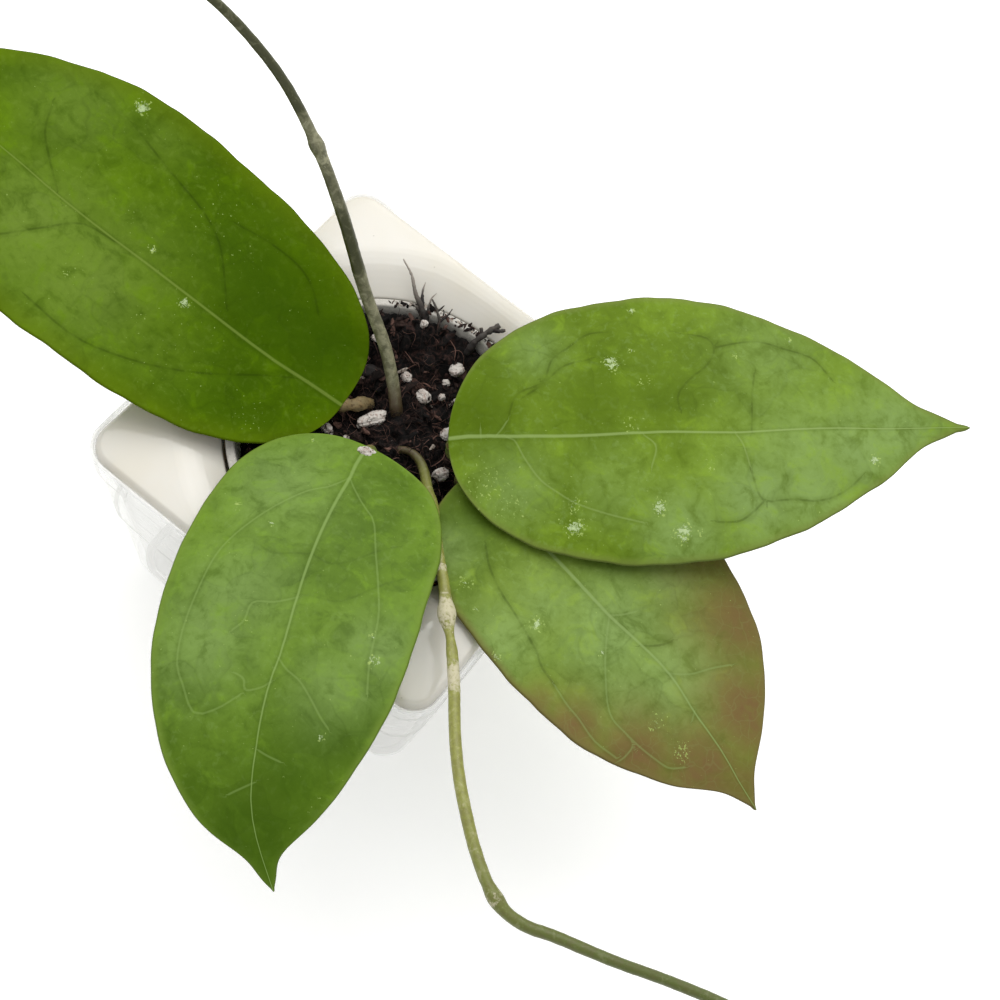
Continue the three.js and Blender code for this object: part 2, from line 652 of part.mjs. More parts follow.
/** The soil fills the cup: a turned body whose top is roughened, with a hole for each stem. */
function soilGeometry() {
  const floor = CUP_FLOOR_HEIGHT + CUP_WALL + SEAT_GAP;
  const wallAt = (height) => cupRadius(height) - CUP_WALL - SEAT_GAP - 0.15;
  const rings = 8;
  const edge = wallAt(SOIL_HEIGHT - 1);
  const profile = [[0, floor], [wallAt(floor) - 0.9, floor], [wallAt(floor + 1), floor + 1]];
  for (let i = 0; i < rings; i++) {
    profile.push([edge * (1 - i / rings), SOIL_HEIGHT]);
  }
  profile.push([0, SOIL_HEIGHT]);
  const geometry = turned(profile, ROUND_SIDES);
  const position = geometry.attributes.position;
  for (let i = 0; i < position.count; i++) {
    if (position.getZ(i) > SOIL_HEIGHT - 0.5) {
      position.setZ(i, soilSurface(position.getX(i), position.getY(i)));
    }
  }
  return geometryOf(soilCutters.reduce((rest, cutter) => rest.subtract(cutter), solid(geometry)));
}

addPiece('soil', soilGeometry(), 0x241a14, 1);

export default plant;
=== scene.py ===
"""The looks of a potted hoya plant.

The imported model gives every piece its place. Each class below rebuilds one sub-assembly at full
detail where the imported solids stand: the pot's three shells, the soil with its loose grains, the
four leaves and the two vines. Sizes are in millimetres and become metres when a mesh is made.
"""

import logging
import math
from dataclasses import dataclass, field
from enum import Enum

import bmesh
import bpy
import numpy as np
from mathutils import Matrix, Vector, noise


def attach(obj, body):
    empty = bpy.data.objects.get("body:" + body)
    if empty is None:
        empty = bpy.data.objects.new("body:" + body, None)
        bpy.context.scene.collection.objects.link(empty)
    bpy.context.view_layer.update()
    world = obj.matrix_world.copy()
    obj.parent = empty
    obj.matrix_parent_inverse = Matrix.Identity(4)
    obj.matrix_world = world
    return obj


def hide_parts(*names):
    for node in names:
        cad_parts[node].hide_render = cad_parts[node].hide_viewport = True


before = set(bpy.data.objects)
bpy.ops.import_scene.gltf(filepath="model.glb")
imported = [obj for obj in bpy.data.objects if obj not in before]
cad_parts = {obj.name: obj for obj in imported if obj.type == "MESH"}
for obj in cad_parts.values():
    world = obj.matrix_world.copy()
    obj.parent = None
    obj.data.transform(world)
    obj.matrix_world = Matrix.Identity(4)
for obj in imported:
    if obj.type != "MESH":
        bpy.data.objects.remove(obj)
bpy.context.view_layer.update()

log = logging.getLogger("potted_hoya")

MM = 0.001                        # one millimetre in metres
PAINT_GAIN = 0.64                 # pigment strength under this studio's light
BODY = "root"                     # the record's only body
SOIL_TOP = 70.0                   # mean height of the soil's surface
BANK_HEIGHT = 6.6                 # how much higher the soil lies against the back of the cup
FULL_TURN = 2 * math.pi
OFF_BLADE = 9.0                   # a distance at which no vein shows
NO_LINE = 60.0                    # a distance from veins where a blade has none

Paint = tuple[float, float, float]
Place = tuple[float, float]
Point = tuple[float, float, float]


class Field(str, Enum):
    """Values that a mesh carries at its vertices for its finish to read."""

    RIB = "rib"
    VEIN = "vein"
    NET = "net"
    NEAR = "near"
    MARGIN = "margin"
    BLUSH = "blush"
    DEEP = "deep"
    # painted sheen: paler grey-green patches that stand in for the window's reflection on a leaf
    BLOOM = "painted_sheen"
    SPECKLE = "speckle"
    PALE = "pale"
    TONE = "tone"


# ---- shared tools -------------------------------------------------------------------------


def paint(red: float, green: float, blue: float, gain: float = PAINT_GAIN) -> tuple[float, ...]:
    """Turns a colour as seen into a pigment.

    Args:
        red: red from 0 to 255.
        green: green from 0 to 255.
        blue: blue from 0 to 255.
        gain: share of the light that the pigment keeps.

    Returns:
        Linear red, green, blue and an alpha of 1.
    """
    linear = [
        ((c / 255 + 0.055) / 1.055) ** 2.4 if c > 10 else c / 255 / 12.92 for c in (red, green, blue)
    ]
    return (*[c * gain for c in linear], 1.0)


def lerp(low: float, high: float, share: float) -> float:
    """Mixes two numbers or arrays by a share."""
    return low + (high - low) * share


def smoothstep(value: np.ndarray, low: float, high: float) -> np.ndarray:
    """Rises smoothly from 0 at low to 1 at high."""
    share = np.clip((value - low) / (high - low), 0, 1)
    return share * share * (3 - 2 * share)


def bell(value: np.ndarray, width: float) -> np.ndarray:
    """A bell curve of height 1 round 0."""
    return np.exp(-((value / width) ** 2))


def deselect() -> None:
    """Leaves object mode with nothing selected."""
    if bpy.context.object is not None and bpy.context.object.mode != "OBJECT":
        bpy.ops.object.mode_set(mode="OBJECT")
    bpy.ops.object.select_all(action="DESELECT")


def pick(piece: bpy.types.Object) -> None:
    """Selects one object alone and makes it active.

    Args:
        piece: the object.
    """
    deselect()
    piece.select_set(True)
    bpy.context.view_layer.objects.active = piece


def apply_modifier(piece: bpy.types.Object, kind: str, **settings: object) -> None:
    """Adds a modifier and applies it.

    Args:
        piece: the object.
        kind: the modifier's type.
        settings: its settings.
    """
    pick(piece)
    modifier = piece.modifiers.new(kind.lower(), kind)
    for key, value in settings.items():
        setattr(modifier, key, value)
    bpy.ops.object.modifier_apply(modifier=modifier.name)


def link(name: str, data: bpy.types.ID) -> bpy.types.Object:
    """Puts new data into the scene.

    Args:
        name: the new object's name.
        data: its mesh, curve, camera or light.

    Returns:
        The object.
    """
    made = bpy.data.objects.new(name, data)
    bpy.context.scene.collection.objects.link(made)
    return made


def close_ends() -> None:
    """Fills the open ends of the mesh in edit mode, makes its normals agree and leaves that mode."""
    bpy.ops.mesh.select_all(action="SELECT")
    bpy.ops.mesh.fill_holes(sides=0)
    bpy.ops.mesh.select_all(action="SELECT")
    bpy.ops.mesh.normals_make_consistent(inside=False)
    bpy.ops.object.mode_set(mode="OBJECT")


def run_along(line: np.ndarray) -> np.ndarray:
    """Length of a line of points up to each of them."""
    return np.concatenate([[0], np.cumsum(np.linalg.norm(np.diff(line, axis=0), axis=1))])


def coordinates(piece: bpy.types.Object) -> np.ndarray:
    """The vertices of a mesh in millimetres.

    Args:
        piece: the mesh object.

    Returns:
        The points, one a row.
    """
    flat = np.empty(len(piece.data.vertices) * 3)
    piece.data.vertices.foreach_get("co", flat)
    return flat.reshape(-1, 3) / MM


def set_coordinates(piece: bpy.types.Object, points: np.ndarray) -> None:
    """Moves the vertices of a mesh to points in millimetres."""
    piece.data.vertices.foreach_set("co", (points * MM).astype(np.float32).ravel())
    piece.data.update()


def normals(piece: bpy.types.Object) -> np.ndarray:
    """The vertex normals of a mesh.

    Args:
        piece: the mesh object.

    Returns:
        The unit vectors, one a row.
    """
    flat = np.empty(len(piece.data.vertices) * 3, np.float32)
    piece.data.vertex_normals.foreach_get("vector", flat)
    return flat.reshape(-1, 3)


def carry(piece: bpy.types.Object, name: Field, values: np.ndarray) -> None:
    """Stores a value at each vertex of a mesh."""
    attribute = piece.data.attributes.new(name.value, "FLOAT", "POINT")
    attribute.data.foreach_set("value", values.astype(np.float32))


def cloud(points: np.ndarray, size: float, seed: float = 0.0, octaves: int = 1) -> np.ndarray:
    """Soft noise at points.

    Args:
        points: the points in millimetres.
        size: the size of its lumps in millimetres.
        seed: which noise.
        octaves: how many finer layers, each at half the size and strength.

    Returns:
        A value from about -1 to 1 at each point.
    """
    shift = Vector((seed * 7.13, seed * 3.71, seed * 5.37))
    total = np.zeros(len(points))
    for octave in range(octaves):
        scale = 2**octave / size
        total += np.array([noise.noise(Vector(p) * scale + shift) for p in points]) / 2**octave
    return total


def smooth_route(route: list[Point], count: int) -> np.ndarray:
    """Evenly spaced points on a centripetal Catmull-Rom curve through given points.

    Args:
        route: the given points.
        count: how many points to return.

    Returns:
        The points, one a row.
    """
    knots = np.array(route, float)
    padded = np.vstack([2 * knots[0] - knots[1], knots, 2 * knots[-1] - knots[-2]])
    dense = []
    for p0, p1, p2, p3 in zip(padded, padded[1:], padded[2:], padded[3:]):
        steps = [math.sqrt(np.linalg.norm(b - a)) for a, b in ((p0, p1), (p1, p2), (p2, p3))]
        t1, t2, t3 = steps[0], steps[0] + steps[1], sum(steps)
        t = np.linspace(t1, t2, 24, endpoint=False)[:, None]
        a1 = (t1 - t) / t1 * p0 + t / t1 * p1
        a2 = (t2 - t) / (t2 - t1) * p1 + (t - t1) / (t2 - t1) * p2
        a3 = (t3 - t) / (t3 - t2) * p2 + (t - t2) / (t3 - t2) * p3
        b1 = (t2 - t) / t2 * a1 + t / t2 * a2
        b2 = (t3 - t) / (t3 - t1) * a2 + (t - t1) / (t3 - t1) * a3
        dense.append((t2 - t) / (t2 - t1) * b1 + (t - t1) / (t2 - t1) * b2)
    line = np.vstack([*dense, knots[-1]])
    run = run_along(line)
    spots = np.linspace(0, run[-1], count)
    return np.stack([np.interp(spots, run, line[:, axis]) for axis in range(line.shape[1])], -1)


def tube(name: str, route: np.ndarray, radii: np.ndarray, sides: int) -> bpy.types.Object:
    """A closed round tube along points.

    Args:
        name: the new object's name.
        route: the centre points in millimetres.
        radii: the radius at each point in millimetres.
        sides: how many sides it has, an even number from 4.

    Returns:
        The tube as a mesh object.
    """
    deselect()
    curve = bpy.data.curves.new(name, "CURVE")
    curve.dimensions = "3D"
    curve.bevel_depth = MM
    curve.bevel_resolution = (sides - 4) // 2
    curve.use_fill_caps = True
    spline = curve.splines.new("POLY")
    spline.points.add(len(route) - 1)
    for point, place, radius in zip(spline.points, route, radii):
        point.co = (*(place * MM), 1)
        point.radius = radius
    piece = link(name, curve)
    pick(piece)
    bpy.ops.object.convert(target="MESH")
    weld(piece)
    return piece


def weld(piece: bpy.types.Object, reach: float = 1e-6) -> None:
    """Merges doubled vertices and makes the normals agree.

    Args:
        piece: the mesh object.
        reach: how near, in metres, two vertices are one.
    """
    pick(piece)
    bpy.ops.object.mode_set(mode="EDIT")
    bpy.ops.mesh.select_all(action="SELECT")
    bpy.ops.mesh.remove_doubles(threshold=reach)
    bpy.ops.mesh.normals_make_consistent(inside=False)
    bpy.ops.object.mode_set(mode="OBJECT")


def nearest_share(points: np.ndarray, route: np.ndarray) -> np.ndarray:
    """Share of the route's length at the route point nearest to each point."""
    gaps = ((points[:, None, :] - route[None, ::2, :]) ** 2).sum(-1)
    return gaps.argmin(1) / max(1, len(route[::2]) - 1)


def join(pieces: list[bpy.types.Object], name: str) -> bpy.types.Object:
    """Joins mesh objects into the first one.

    Args:
        pieces: the objects.
        name: the name of the joined object.

    Returns:
        The joined object.
    """
    deselect()
    for piece in pieces:
        piece.select_set(True)
    bpy.context.view_layer.objects.active = pieces[0]
    bpy.ops.object.join()
    pieces[0].name = name
    pieces[0].data.name = name
    return pieces[0]


def dress(piece: bpy.types.Object, *materials: bpy.types.Material) -> None:
    """Gives a mesh its materials and smooth shading.

    Args:
        piece: the mesh object.
        materials: its materials, in the order of its material indices.
    """
    piece.data.materials.clear()
    for material in materials:
        piece.data.materials.append(material)
    piece.data.shade_smooth()


def settle(piece: bpy.types.Object, slot: str, *nodes: str) -> bpy.types.Object:
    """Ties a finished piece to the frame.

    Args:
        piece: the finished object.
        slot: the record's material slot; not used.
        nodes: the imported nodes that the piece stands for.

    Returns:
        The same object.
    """
    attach(piece, BODY)
    if nodes:
        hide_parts(*nodes)
    faces, stood_for = len(piece.data.polygons), ", ".join(nodes) or "nothing"
    log.info("%s: %d faces, stands for %s", piece.name, faces, stood_for)
    return piece


# ---- finishes -----------------------------------------------------------------------------


class Recipe:
    """A material's nodes, put together step by step, with the colour that its coats have made so far."""

    def __init__(self, name: str) -> None:
        """Starts a material.

        Args:
            name: the material's name.
        """
        self.material = bpy.data.materials.new(name)
        self.material.use_nodes = True
        self.tree = self.material.node_tree
        self.shader = self.tree.nodes["Principled BSDF"]
        self.color: object = None

    def node(self, kind: str, inputs: dict[str | int, object], **settings: object) -> bpy.types.Node:
        """Adds a node.

        Args:
            kind: the node's type, without its usual beginning.
            inputs: values or sockets for its inputs, by name or number.
            settings: its settings.

        Returns:
            The node.
        """
        made = self.tree.nodes.new(f"ShaderNode{kind}")
        for key, value in settings.items():
            setattr(made, key, value)
        for key, value in inputs.items():
            self.feed(made.inputs[key], value)
        return made

    def feed(self, socket: bpy.types.NodeSocket, value: object) -> None:
        """Links a socket to another, or sets its value.

        Args:
            socket: the input.
            value: an output socket or a plain value.
        """
        if isinstance(value, bpy.types.NodeSocket):
            self.tree.links.new(value, socket)
        else:
            socket.default_value = value

    def done(self, **values: object) -> bpy.types.Material:
        """Feeds the shader's own sockets, and its colour from the coats unless it is given.

        Args:
            values: values or sockets by the input's name, with _ for a space.

        Returns:
            The material.
        """
        for key, value in {"Base_Color": self.color, **values}.items():
            self.feed(self.shader.inputs[key.replace("_", " ")], value)
        return self.material

    def spot(self, stretch: Point = (1, 1, 1), shift: float = 0.0) -> object:
        """Object coordinates in millimetres.

        Args:
            stretch: how each axis is scaled.
            shift: how far the pattern is moved, in millimetres.

        Returns:
            The vector socket.
        """
        place = self.node("TexCoord", {}).outputs["Object"]
        moved = (shift, shift * 0.7, shift * 0.4)
        inputs = {"Vector": place, "Scale": [s / MM for s in stretch], "Location": moved}
        return self.node("Mapping", inputs).outputs["Vector"]

    def axes(self, spot: object) -> bpy.types.bpy_prop_collection:
        """The X, Y and Z sockets of a place."""
        return self.node("SeparateXYZ", {"Vector": spot}).outputs

    def value(self, name: Field) -> object:
        """A value that the mesh carries."""
        return self.node("Attribute", {}, attribute_name=name.value).outputs["Fac"]

    def mottle(
        self, spot: object, size: float, detail: float = 2.0, rough: float = 0.5, bend: float = 0.0,
    ) -> object:
        """Noise from 0 to 1.

        Args:
            spot: the vector socket.
            size: size of its lumps in millimetres.
            detail: number of finer layers.
            rough: strength of the finer layers.
            bend: distortion.

        Returns:
            The value socket.
        """
        inputs = {"Vector": spot, "Scale": 1 / size, "Detail": detail, "Roughness": rough, "Distortion": bend}
        return self.node("TexNoise", inputs).outputs["Fac"]

    def cells(self, spot: object, size: float, feature: str = "F1", output: str = "Distance") -> object:
        """Cells of a size in millimetres: a distance or a random colour."""
        return self.node("TexVoronoi", {"Vector": spot, "Scale": 1 / size}, feature=feature).outputs[output]

    def step(self, value: object, low: float, high: float, start: float = 0.0, end: float = 1.0) -> object:
        """Maps a value from one range to another, smoothly and within the new range."""
        inputs = {"Value": value, "From Min": low, "From Max": high, "To Min": start, "To Max": end}
        return self.node("MapRange", inputs, interpolation_type="SMOOTHSTEP").outputs["Result"]

    def math(self, operation: str, first: object, second: object = 0.0) -> object:
        """One arithmetic step."""
        return self.node("Math", {0: first, 1: second}, operation=operation).outputs[0]

    def times(self, first: object, second: object) -> object:
        """The product of two values."""
        return self.math("MULTIPLY", first, second)

    def plus(self, first: object, second: object) -> object:
        """The sum of two values."""
        return self.math("ADD", first, second)

    def size(self, value: object) -> object:
        """A value without its sign."""
        return self.math("ABSOLUTE", value)

    def line(self, name: Field, width: float, strength: float | None = None) -> object:
        """A line whose signed distance the mesh carries: 1 on it, falling to 0 at a width.

        Args:
            name: the distance's name.
            width: the line's half width in millimetres.
            strength: how strong the line is, if less than 1.

        Returns:
            The value socket.
        """
        line = self.step(self.size(self.value(name)), width, width * 0.25)
        line = self.times(line, self.step(self.value(Field.NEAR), 1.9, 1.2))
        return line if strength is None else self.times(line, strength)

    def warp(self, spot: object, size: float, reach: float) -> object:
        """Moves a vector socket about by noise.

        Args:
            spot: the vector socket.
            size: size of the noise's lumps in millimetres.
            reach: how far it moves at most, in millimetres.

        Returns:
            The moved vector socket.
        """
        drift = self.node("TexNoise", {"Vector": spot, "Scale": 1 / size, "Detail": 1.0}).outputs["Color"]
        drift = self.node("VectorMath", {0: drift, 1: (0.5, 0.5, 0.5)}, operation="SUBTRACT").outputs[0]
        drift = self.node("VectorMath", {0: drift, "Scale": 2 * reach}, operation="SCALE").outputs[0]
        return self.node("VectorMath", {0: spot, 1: drift}, operation="ADD").outputs[0]

    def coat(self, share: object, tint: Paint, shade: float = 1.0, gain: float = PAINT_GAIN) -> None:
        """Lays a paint over the colour so far, or starts the colour with it.

        Args:
            share: how much of the paint covers, from 0 to 1.
            tint: the paint.
            shade: how light the paint is mixed, against the tint.
            gain: share of the light that the pigment keeps.
        """
        layer = paint(*[c * shade for c in tint], gain)
        if self.color is None:
            self.color = layer
            return
        made = self.node("Mix", {}, data_type="RGBA")
        sockets = {s.name: s for s in made.inputs if s.type == "RGBA"}
        self.feed(made.inputs["Factor"], share)
        self.feed(sockets["A"], self.color)
        self.feed(sockets["B"], layer)
        self.color = next(s for s in made.outputs if s.type == "RGBA")

    def bump(self, height: object, depth: float, strength: float = 1.0, under: object = None) -> object:
        """Small relief.

        Args:
            height: the height socket, from 0 to 1.
            depth: the relief's depth in millimetres.
            strength: its strength.
            under: the normal of relief below it.

        Returns:
            The normal socket.
        """
        inputs = {"Height": height, "Distance": depth * MM, "Strength": strength}
        if under is not None:
            inputs["Normal"] = under
        return self.node("Bump", inputs).outputs["Normal"]


@dataclass(frozen=True)
class LeafFinish:
    """The waxy upper face of a leaf: greens in soft patches, veins, painted sheen and specks."""

    name: str
    fresh: Paint
    deep: Paint
    painted_sheen: Paint
    vein: Paint
    margin: Paint
    blush: Paint = (122, 94, 54)
    margin_reach: float = 2.2
    band: float = 0.7
    net: float = 1.0
    shift: float = 0.0
    roughness: float = 0.4
    gloss: float = 0.08
    speck: Paint = (182, 206, 116)
    crust: Paint = (196, 216, 166)

    def material(self) -> bpy.types.Material:
        """Builds the material.

        Returns:
            The material.
        """
        recipe = Recipe(self.name)
        spot = recipe.spot(shift=self.shift)
        broad = recipe.mottle(spot, 22, 3, 0.55, 0.4)
        medium = recipe.mottle(spot, 6, 4, 0.62, 0.5)
        fine = recipe.mottle(spot, 1.7, 3, 0.6, 0.4)
        calm = recipe.step(recipe.value(Field.DEEP), 0.2, 1.0, 1.0, 0.25)
        recipe.coat(1, self.fresh)
        recipe.coat(recipe.step(broad, 0.32, 0.68, 0.0, 0.62), self.deep)
        # deep green patches, then painted sheen: paler grey-green where the leaf would reflect the window
        for name, tint in ((Field.DEEP, self.deep), (Field.BLOOM, self.painted_sheen)):
            recipe.coat(recipe.times(recipe.value(name), recipe.step(medium, 0.25, 0.65, 0.65, 1.0)), tint)
        recipe.coat(recipe.times(recipe.step(medium, 0.5, 0.74, 0.0, 0.5), calm), self.fresh, 1.16)
        recipe.coat(recipe.step(medium, 0.5, 0.26, 0.0, 0.45), self.deep, 0.88)
        # the sheen paint also lightens a fine random grain here, which is the leaf's own texture
        recipe.coat(recipe.times(recipe.step(fine, 0.52, 0.7, 0.0, 0.2), calm), self.painted_sheen, 1.06)
        recipe.coat(recipe.step(fine, 0.48, 0.3, 0.0, 0.16), self.deep, 0.95)
        self.lines(recipe, spot, broad, calm)
        blush = recipe.times(recipe.value(Field.BLUSH), recipe.step(medium, 0.25, 0.65, 0.7, 1.0))
        recipe.coat(blush, self.blush)
        lace = recipe.cells(recipe.warp(spot, 4, 2.0), 4.2, "DISTANCE_TO_EDGE")
        recipe.coat(recipe.times(recipe.step(lace, 0.05, 0.0, 0.0, 0.12), blush), self.vein)
        self.edge(recipe, medium)
        self.veins(recipe)
        specks = self.specks(recipe)
        rough = recipe.step(medium, 0.2, 0.8, self.roughness - 0.04, self.roughness + 0.08)
        rough = recipe.math("MAXIMUM", rough, recipe.times(specks, 0.7))
        relief = recipe.bump(recipe.mottle(spot, 1.3, 3, 0.6), 0.05, 0.5)
        relief = recipe.bump(medium, 0.35, 0.35, relief)
        relief = recipe.bump(specks, 0.06, 0.6, relief)
        return recipe.done(Roughness=rough, Normal=relief, Specular_IOR_Level=self.gloss)

    def lines(self, recipe: Recipe, spot: object, broad: object, calm: object) -> None:
        """Coats the dark net under the skin: the mesh's own lines and a faint web of small cells.

        Args:
            recipe: the material in the making.
            spot: the vector socket.
            broad: the broad mottling.
            calm: how lively the skin is, low in the deep green parts.
        """
        drift = recipe.warp(spot, 7, 3.0)
        chance = recipe.cells(drift, 9, output="Color")
        chance = recipe.node("SeparateColor", {"Color": chance}).outputs["Red"]
        recipe.coat(recipe.times(recipe.step(chance, 0.4, 1.0, 0.0, 0.1), calm), self.fresh, 1.15)
        recipe.coat(recipe.step(chance, 0.6, 0.0, 0.0, 0.1), self.deep, 0.9)
        web = recipe.step(recipe.cells(drift, 9, "DISTANCE_TO_EDGE"), 0.07, 0.0)
        recipe.coat(recipe.times(web, recipe.step(broad, 0.4, 0.62, 0.02, 0.15)), self.deep, 0.8)
        broken = recipe.step(recipe.mottle(spot, 3.5, 2), 0.35, 0.62, 0.35, 1.0)
        for width, strength, shade in ((1.4, 0.22, 0.82), (0.42, 0.4, 0.7)):
            drawn = recipe.times(recipe.line(Field.NET, width), recipe.times(broken, strength * self.net))
            recipe.coat(drawn, self.deep, shade)

    def edge(self, recipe: Recipe, medium: object) -> None:
        """Coats the yellower band along the margin and the thin dark line on its very edge.

        Args:
            recipe: the material in the making.
            medium: the middle mottling.
        """
        distance = recipe.plus(recipe.value(Field.MARGIN), recipe.times(medium, 1.2))
        band = recipe.step(distance, self.margin_reach + 0.8, 0.6, 0.0, self.band)
        band = recipe.times(band, recipe.step(recipe.value(Field.DEEP), 0.2, 0.9, 1.0, 0.25))
        recipe.coat(band, self.margin)
        recipe.coat(recipe.step(recipe.value(Field.MARGIN), 0.55, 0.15, 0.0, 0.6), self.margin, 0.72)

    def veins(self, recipe: Recipe) -> None:
        """Coats the pale side veins and midrib, each over a soft dark line.

        Args:
            recipe: the material in the making.
        """
        for name, dark_width, dark, width, strength in (
            (Field.VEIN, 1.3, 0.16, 0.32, 0.3), (Field.RIB, 3.4, 0.2, 1.0, 0.6),
        ):
            recipe.coat(recipe.line(name, dark_width, dark), self.deep, 0.85)
            recipe.coat(recipe.line(name, width, strength), self.vein)

    def specks(self, recipe: Recipe) -> object:
        """Coats the mineral specks: small ones everywhere and, where the mesh says so, ragged crusts.

        Args:
            recipe: the material in the making.

        Returns:
            Where they lie.
        """
        crowd = recipe.value(Field.SPECKLE)
        spot = recipe.spot(shift=self.shift + 3)
        small = recipe.mottle(spot, 0.7, 2, 0.6)
        small = recipe.math("SUBTRACT", small, recipe.step(crowd, 0.0, 0.6, 0.725, 0.56))
        small = recipe.step(small, 0.0, 0.05, 0.0, 0.6)
        crust = recipe.mottle(recipe.warp(spot, 1.6, 1.2), 0.95, 5, 0.74)
        crust = recipe.step(recipe.plus(crust, recipe.times(crowd, 0.42)), 0.83, 0.9, 0.0, 0.75)
        recipe.coat(small, self.speck, gain=0.76)
        recipe.coat(crust, self.crust, gain=0.78)
        return recipe.math("MAXIMUM", small, crust)


@dataclass(frozen=True)
class UndersideFinish:
    """The paler, duller lower face of a leaf."""

    name: str
    green: Paint = (132, 156, 92)
    pale: Paint = (164, 182, 124)
    vein: Paint = (178, 192, 140)

    def material(self) -> bpy.types.Material:
        """Builds the material.

        Returns:
            The material.
        """
        recipe = Recipe(self.name)
        spot = recipe.spot()
        patches = recipe.step(recipe.mottle(spot, 12, 4, 0.6, 0.3), 0.35, 0.7)
        recipe.coat(1, self.green)
        recipe.coat(patches, self.pale)
        recipe.coat(recipe.line(Field.VEIN, 0.6, 0.4), self.vein)
        relief = recipe.bump(recipe.mottle(spot, 1.4, 3, 0.6), 0.08, 0.5)
        return recipe.done(Roughness=recipe.step(patches, 0, 1, 0.5, 0.62), Normal=relief)


@dataclass(frozen=True)
class StalkFinish:
    """A petiole's skin, olive to tan, with corky freckles."""

    name: str
    green: Paint
    cork: Paint = (150, 128, 88)
    freckle: Paint = (84, 64, 40)

    def material(self) -> bpy.types.Material:
        """Builds the material.

        Returns:
            The material.
        """
        recipe = Recipe(self.name)
        spot = recipe.spot()
        patches = recipe.mottle(spot, 2.2, 4, 0.65, 0.5)
        recipe.coat(1, self.green)
        recipe.coat(recipe.step(patches, 0.42, 0.66), self.cork)
        recipe.coat(recipe.step(recipe.mottle(spot, 0.9, 3, 0.6), 0.5, 0.66, 0.0, 0.7), self.freckle)
        return recipe.done(Roughness=0.6, Specular_IOR_Level=0.2, Normal=recipe.bump(patches, 0.25, 0.8))


@dataclass(frozen=True)
class StemFinish:
    """Skin of a vine: green or woody, with corky pale patches, dark flecks, and soil on its foot."""

    name: str
    young: Paint
    old: Paint
    cork: Paint
    dark: Paint
    flecks: float
    blotch: float = 2.2
    earth: Paint = (88, 70, 50)
    earth_top: float = 77.0

    def material(self) -> bpy.types.Material:
        """Builds the material.

        Returns:
            The material.
        """
        recipe = Recipe(self.name)
        spot = recipe.spot()
        streaks = recipe.mottle(spot, self.blotch, 4, 0.65, 0.6)
        grain = recipe.mottle(spot, 0.55, 3, 0.7)
        ragged = recipe.mottle(spot, 1.0, 4, 0.7, 0.5)
        tone = recipe.value(Field.TONE)
        young = recipe.step(tone, 0.3, 1.0, 1.0, 0.35)
        recipe.coat(1, self.young)
        recipe.coat(tone, self.old)
        recipe.coat(recipe.step(streaks, 0.46, 0.6, 0.0, self.flecks), self.dark)
        recipe.coat(recipe.times(recipe.step(streaks, 0.46, 0.34, 0.0, self.flecks), young), self.cork)
        recipe.coat(recipe.times(recipe.step(grain, 0.55, 0.8, 0.0, 0.35), young), self.cork)
        edge = recipe.plus(recipe.times(recipe.value(Field.PALE), 0.6), recipe.times(ragged, 1.3))
        cork = recipe.step(edge, 0.9, 1.2, 0.0, 0.85)
        recipe.coat(cork, self.cork)
        recipe.coat(recipe.times(recipe.step(grain, 0.42, 0.3), 0.35), self.dark)
        soiled = recipe.step(recipe.axes(spot)["Z"], self.earth_top, self.earth_top - 4.5, 0.0, 0.85)
        recipe.coat(recipe.times(soiled, recipe.step(ragged, 0.3, 0.55, 0.45, 1.0)), self.earth)
        relief = recipe.bump(cork, 0.12, 0.6, recipe.bump(grain, 0.12, 0.7))
        return recipe.done(Roughness=recipe.step(cork, 0, 1, 0.45, 0.75), Normal=relief)


@dataclass(frozen=True)
class CreamPlastic:
    """Glossy cream injection-moulded plastic, with the faint clouding and dust of use."""

    name: str = "cream_plastic"
    base: Paint = (243, 240, 231)
    warm: Paint = (238, 233, 218)
    dust: Paint = (120, 112, 96)

    def material(self) -> bpy.types.Material:
        """Builds the material.

        Returns:
            The material.
        """
        recipe = Recipe(self.name)
        spot = recipe.spot()
        recipe.coat(1, self.base)
        recipe.coat(recipe.step(recipe.mottle(spot, 30, 3, 0.5), 0.35, 0.7), self.warm)
        recipe.coat(recipe.step(recipe.cells(spot, 5.5), 0.045, 0.02, 0.0, 0.35), self.dust)
        return recipe.done(
            Roughness=recipe.step(recipe.mottle(spot, 4, 4, 0.7), 0.3, 0.8, 0.1, 0.22),
            Specular_IOR_Level=0.5, Subsurface_Weight=0.12, Subsurface_Scale=1.0,
            Subsurface_Radius=(0.006, 0.005, 0.004),
            Normal=recipe.bump(recipe.mottle(spot, 9, 2, 0.5), 0.12, 0.25),
        )


